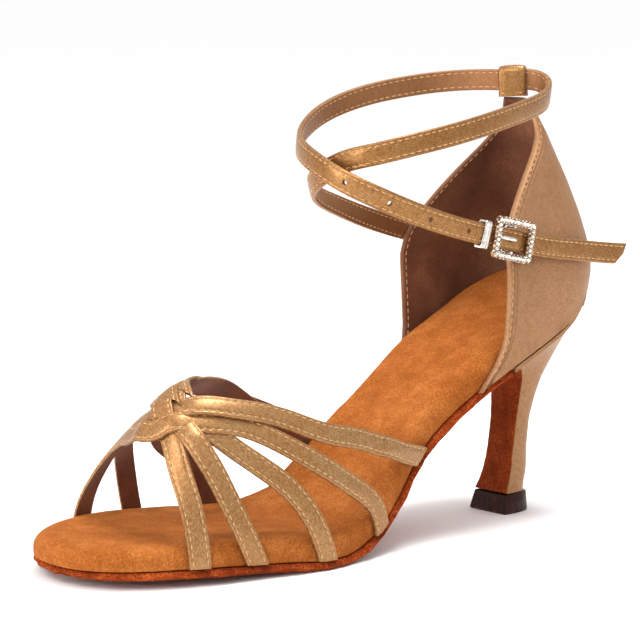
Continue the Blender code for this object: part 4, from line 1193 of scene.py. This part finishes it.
for side in (1, -1):
    yz = path[:, None, :] + out[:, None, :] * (side * (0.2 * LOOP_WALL / 2 + 0.8 * swell))[None, :, None]
    x = across[None, :] * LOOP_WIDTH / 2 * pinch[:, None]
    faces.append(seated(np.concatenate([x[..., None], yz], axis=-1), loop_frame))
grid = np.concatenate([faces[0], faces[1][:, ::-1]], axis=1)
loop = skin("loop_leaf", grid, [ankle_satin], caps=1, sharp=1.2)
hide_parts("strap_loop")

thick = deep - LOOP_WALL / 2
plan = np.array([(-1, -1), (0, -1.04), (1, -1), (1.01, 0), (1, 1), (0, 1.04), (-1, 1), (-1.01, 0)])
plan = plan * (LOOP_WIDTH * 0.48, thick)
levels = np.linspace(-foot, -high + LOOP_WALL / 2, 6)
rings = [np.column_stack([plan, np.full(len(plan), level)]) for level in levels]
core = skin("loop_core", seated(np.array(rings), loop_frame), [lining], caps=1)
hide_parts("strap_loop")

rows = []
for side in (1, -1):
    x = np.linspace(-LOOP_ROW, LOOP_ROW, 30)
    rail = np.stack(np.broadcast_arrays(x, side * (deep + 0.00046), -high - 0.0002), axis=-1)
    rows.append(stitches(seated(rail, loop_frame), np.broadcast_to(loop_frame[2] * side, rail.shape)))
sew("loop_stitches", rows)

# ---------------------------------------------------------------- buckle
# Cast metal frame set all round with small clear stones. Its bar passes behind the strap and carries the pin,
# a short satin tab holds the bar to the counter, and a ribbed metal slide keeps the strap flat.

BUCKLE_LENGTH, BUCKLE_HEIGHT, BUCKLE_RAIL, BUCKLE_DEPTH = 0.0180, 0.0142, 0.0026, 0.0024
BAR_WIDTH, PRONG_WIDTH, KEEPER_LENGTH, KEEPER_WALL = 0.0014, 0.0014, 0.0030, 0.0008
BUCKLE_TAB_WIDTH, BUCKLE_TAB_THICKNESS = 0.0068, 0.0012
STONES, RAIL_CORNER, RAIL_RISE = 34, 0.0003, 0.0009
RIB_PITCH, RIB_DEPTH = 0.0010, 0.00008

# Radius of each ring of a stone, and of the small beads beside it, and its height above the strap
STONE = ((0.00066, 0.0014), (0.00074, 0.0019), (0.00062, 0.00230), (0.00034, 0.00255))
BEAD = ((0.00026, 0.0010), (0.00032, 0.0016), (0.00018, 0.0020))

# The same four columns as the ankle strap's route
BUCKLE_TAB = (
    (0.271, 0.370, 0.193, 0.30),
    (0.268, 0.420, 0.204, 0.30),
    (0.265, 0.470, 0.215, 0.26),
    (0.267, 0.520, 0.226, 0.06),
    (0.266, 0.555, 0.234, 0.0),
)


silver, flow, shader, body = new_material("silver_metal", Metallic=1.0)
tarnish, polish = flow.noise(body, 500.0), flow.noise(body, 2400.0, 2.0)
shade = tarnish.ramp((0.35, tint(196, 190, 182)), (0.6, tint(232, 230, 226)))
dress(flow, shader, shade, 0.12 + polish * 0.08, polish, 0.000006)

setting, flow, shader, body = new_material("setting", Metallic=1.0)
plating = flow.noise(body, 900.0, 2.0)
shade = plating.ramp((0.40, tint(96, 66, 44)), (0.60, tint(176, 142, 108)))
dress(flow, shader, shade, 0.20 + plating * 0.12, plating, 0.00001)

clear = {"Specular_IOR_Level": 0.9, "Coat_Weight": 0.5, "Coat_Roughness": 0.02}
crystal, flow, shader, body = new_material("crystal", Metallic=0.55, **clear)
glint, fire = flow.noise(body, 1300.0, 1.0), flow.noise(body, 700.0, 2.0)
shade = glint.ramp((0.36, tint(178, 166, 150)), (0.48, tint(238, 232, 222)), (0.62, tint(255, 253, 250)))
dress(flow, shader, shade, 0.06 + fire * 0.08, glint, 0.000008)


def rounded_frame(half_x, half_z, corner, count):
    """Points, evenly spaced, and outward ways round a rectangle whose corners are quarter circles."""
    angle = np.linspace(0, np.pi / 2, 24)
    quarter = np.stack([np.cos(angle), np.sin(angle)], axis=-1)
    ways = np.concatenate([quarter, quarter[::-1] * (-1, 1), -quarter, quarter[::-1] * (1, -1)])
    signs = np.repeat([(1, 1), (-1, 1), (-1, -1), (1, -1)], 24, axis=0)
    points = signs * (half_x - corner, half_z - corner) + ways * corner
    points, ways = np.concatenate([points, points[:1]]), np.concatenate([ways, ways[:1]])
    gone = travelled(points, 0)
    at = np.arange(count) * gone[-1] / count
    return read_at(at, gone, points), unit(read_at(at, gone, ways))


low = ANKLE_STRAP_THICKNESS / 2 + GAP
rail_sizes = (BUCKLE_LENGTH - BUCKLE_RAIL) / 2, (BUCKLE_HEIGHT - BUCKLE_RAIL) / 2, RAIL_CORNER
rail_middle, ways = rounded_frame(*rail_sizes, 160)
turn = np.arange(14) * 2 * np.pi / 14
swing, rise = (np.sign(wave) * np.abs(wave) ** 0.7 for wave in (np.cos(turn), np.sin(turn)))
swing, depth = swing * BUCKLE_RAIL / 2, low + RAIL_RISE * (1 + rise)
flat = rail_middle[:, None, :] + ways[:, None, :] * swing[:, None]
rail = np.stack([flat[..., 0], np.broadcast_to(depth, flat.shape[:2]), flat[..., 1]], axis=-1)
frame_rail = skin("buckle_rail", seated(rail, buckle), [setting], hoop=True)
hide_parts("buckle_frame")

seats, seat_ways = rounded_frame(*rail_sizes, STONES)
turn = 0.2 - np.arange(8) * 2 * np.pi / 8
groups = []
for sideways, profile in ((0, STONE), (1, BEAD), (-1, BEAD)):
    between = abs(sideways) / 2
    spots = seats + (np.roll(seats, -1, axis=0) - seats) * between
    ways = unit(seat_ways + (np.roll(seat_ways, -1, axis=0) - seat_ways) * between)
    spots = spots + ways * sideways * BUCKLE_RAIL * 0.38
    radius, height = np.array(profile).T[..., None]
    shape = np.broadcast_arrays(radius * np.cos(turn), height + low, radius * np.sin(turn))
    centres = np.insert(spots, 1, 0, axis=1)[:, None, None]
    groups.append(closed_bodies(centres + np.stack(shape, axis=-1)))
points, faces = joined(groups)
stones = new_piece("buckle_stones", seated(points, buckle), faces, [crystal])
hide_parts("buckle_frame")


def tube(name, path, radii, made):
    """Round rod along a path in the strap's own directions, with a radius for each point.

    A ring's first way is square to the path and to a way that no path here takes.
    """
    along = unit(np.gradient(path, axis=0))
    side = unit(np.cross(along, np.cross(along, [0.31, 0.52, 0.79])))
    over = np.cross(along, side)
    turn = np.arange(12)[:, None] * 2 * np.pi / 12
    ring = np.cos(turn) * side[:, None, :] + np.sin(turn) * over[:, None, :]
    rings = path[:, None, :] + ring * np.array(radii)[:, None, None]
    return skin(name, seated(rings, buckle), [made], caps=0)


leg = ANKLE_STRAP_WIDTH / 2 + GAP + BAR_WIDTH / 2
back = -low - BAR_WIDTH / 2
corners = [(0, low + 0.0010, -leg), (0, 0, -leg), (0, back + 0.0006, -leg), (0, back, -leg + 0.0006)]
corners += [(0, back, 0)] + [(x, y, -z) for x, y, z in corners[::-1]]
bar = tube("buckle_bar", spline_through(corners, 60), np.full(60, BAR_WIDTH / 2), silver)
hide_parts("buckle_frame")

top = low + BUCKLE_DEPTH + GAP + PRONG_WIDTH / 2
tip_x = BUCKLE_LENGTH / 2 - BUCKLE_RAIL / 4
pin_places = [(0.0002, -0.0004, 0), (0, low + 0.0008, 0), (-0.0012, top - 0.0003, 0)]
pin_places += [(-0.0045, top, 0), (-tip_x, top - 0.0002, 0)]
pin_path = spline_through(pin_places, 40)
pin_radii = PRONG_WIDTH / 2 * np.interp(np.linspace(0, 1, 40), [0, 0.8, 0.95, 1], [1, 0.95, 0.75, 0.35])
pin = tube("buckle_pin", pin_path, pin_radii, silver)
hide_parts("buckle_prong")

middle, along, normal, up = strap_route(ANKLE_ROUTE, CAD_STEPS)
spot = buckle[0] - buckle[1] * (BUCKLE_LENGTH / 2 + GAP * 4 + KEEPER_LENGTH / 2)
k = np.linalg.norm(middle - spot, axis=1).argmin()
wide, deep = ANKLE_STRAP_WIDTH / 2 + GAP, ANKLE_STRAP_THICKNESS / 2 + GAP
inside, _ = rounded_frame(deep, wide, 0.0003, 72)
outside, outside_ways = rounded_frame(deep + KEEPER_WALL, wide + KEEPER_WALL, 0.0007, 72)
x = np.linspace(-0.5, 0.5, 17) * KEEPER_LENGTH
ribs = RIB_DEPTH * (np.cos(2 * np.pi * x / RIB_PITCH) - 1) - 0.0003 * np.abs(2 * x / KEEPER_LENGTH) ** 12
shell_out = outside[:, None, :] + outside_ways[:, None, :] * ribs[:, None]
shell_in = np.repeat(inside[:, None, :], 17, axis=1)
section = np.concatenate([shell_out, shell_in[:, ::-1]], axis=1)
xs = np.broadcast_to(np.concatenate([x, x[::-1]]), section.shape[:2])
grid = seated(np.concatenate([xs[..., None], section], axis=-1), (middle[k], along[k], normal[k], up[k]))
keeper = skin("buckle_slide", grid, [silver], hoop=True)
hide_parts("buckle_keeper")

across = strap_section(BUCKLE_TAB_WIDTH)
middle, along, normal, up = strap_route(BUCKLE_TAB, 60)
ribbon = middle[:, None, :] + (up * BUCKLE_TAB_WIDTH / 2)[:, None, :] * across[:, None]
sizes = across, BUCKLE_TAB_WIDTH, BUCKLE_TAB_THICKNESS
tab = strap_shell("buckle_tab_satin", ribbon, normal[:, None, :], *sizes, [ankle_satin, ankle_lining])[0]
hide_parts("buckle_tab")

size = {"cad": [list(map(float, corner)) for corner in cad_box]}
size["visual"] = [list(map(float, corner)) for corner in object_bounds()]
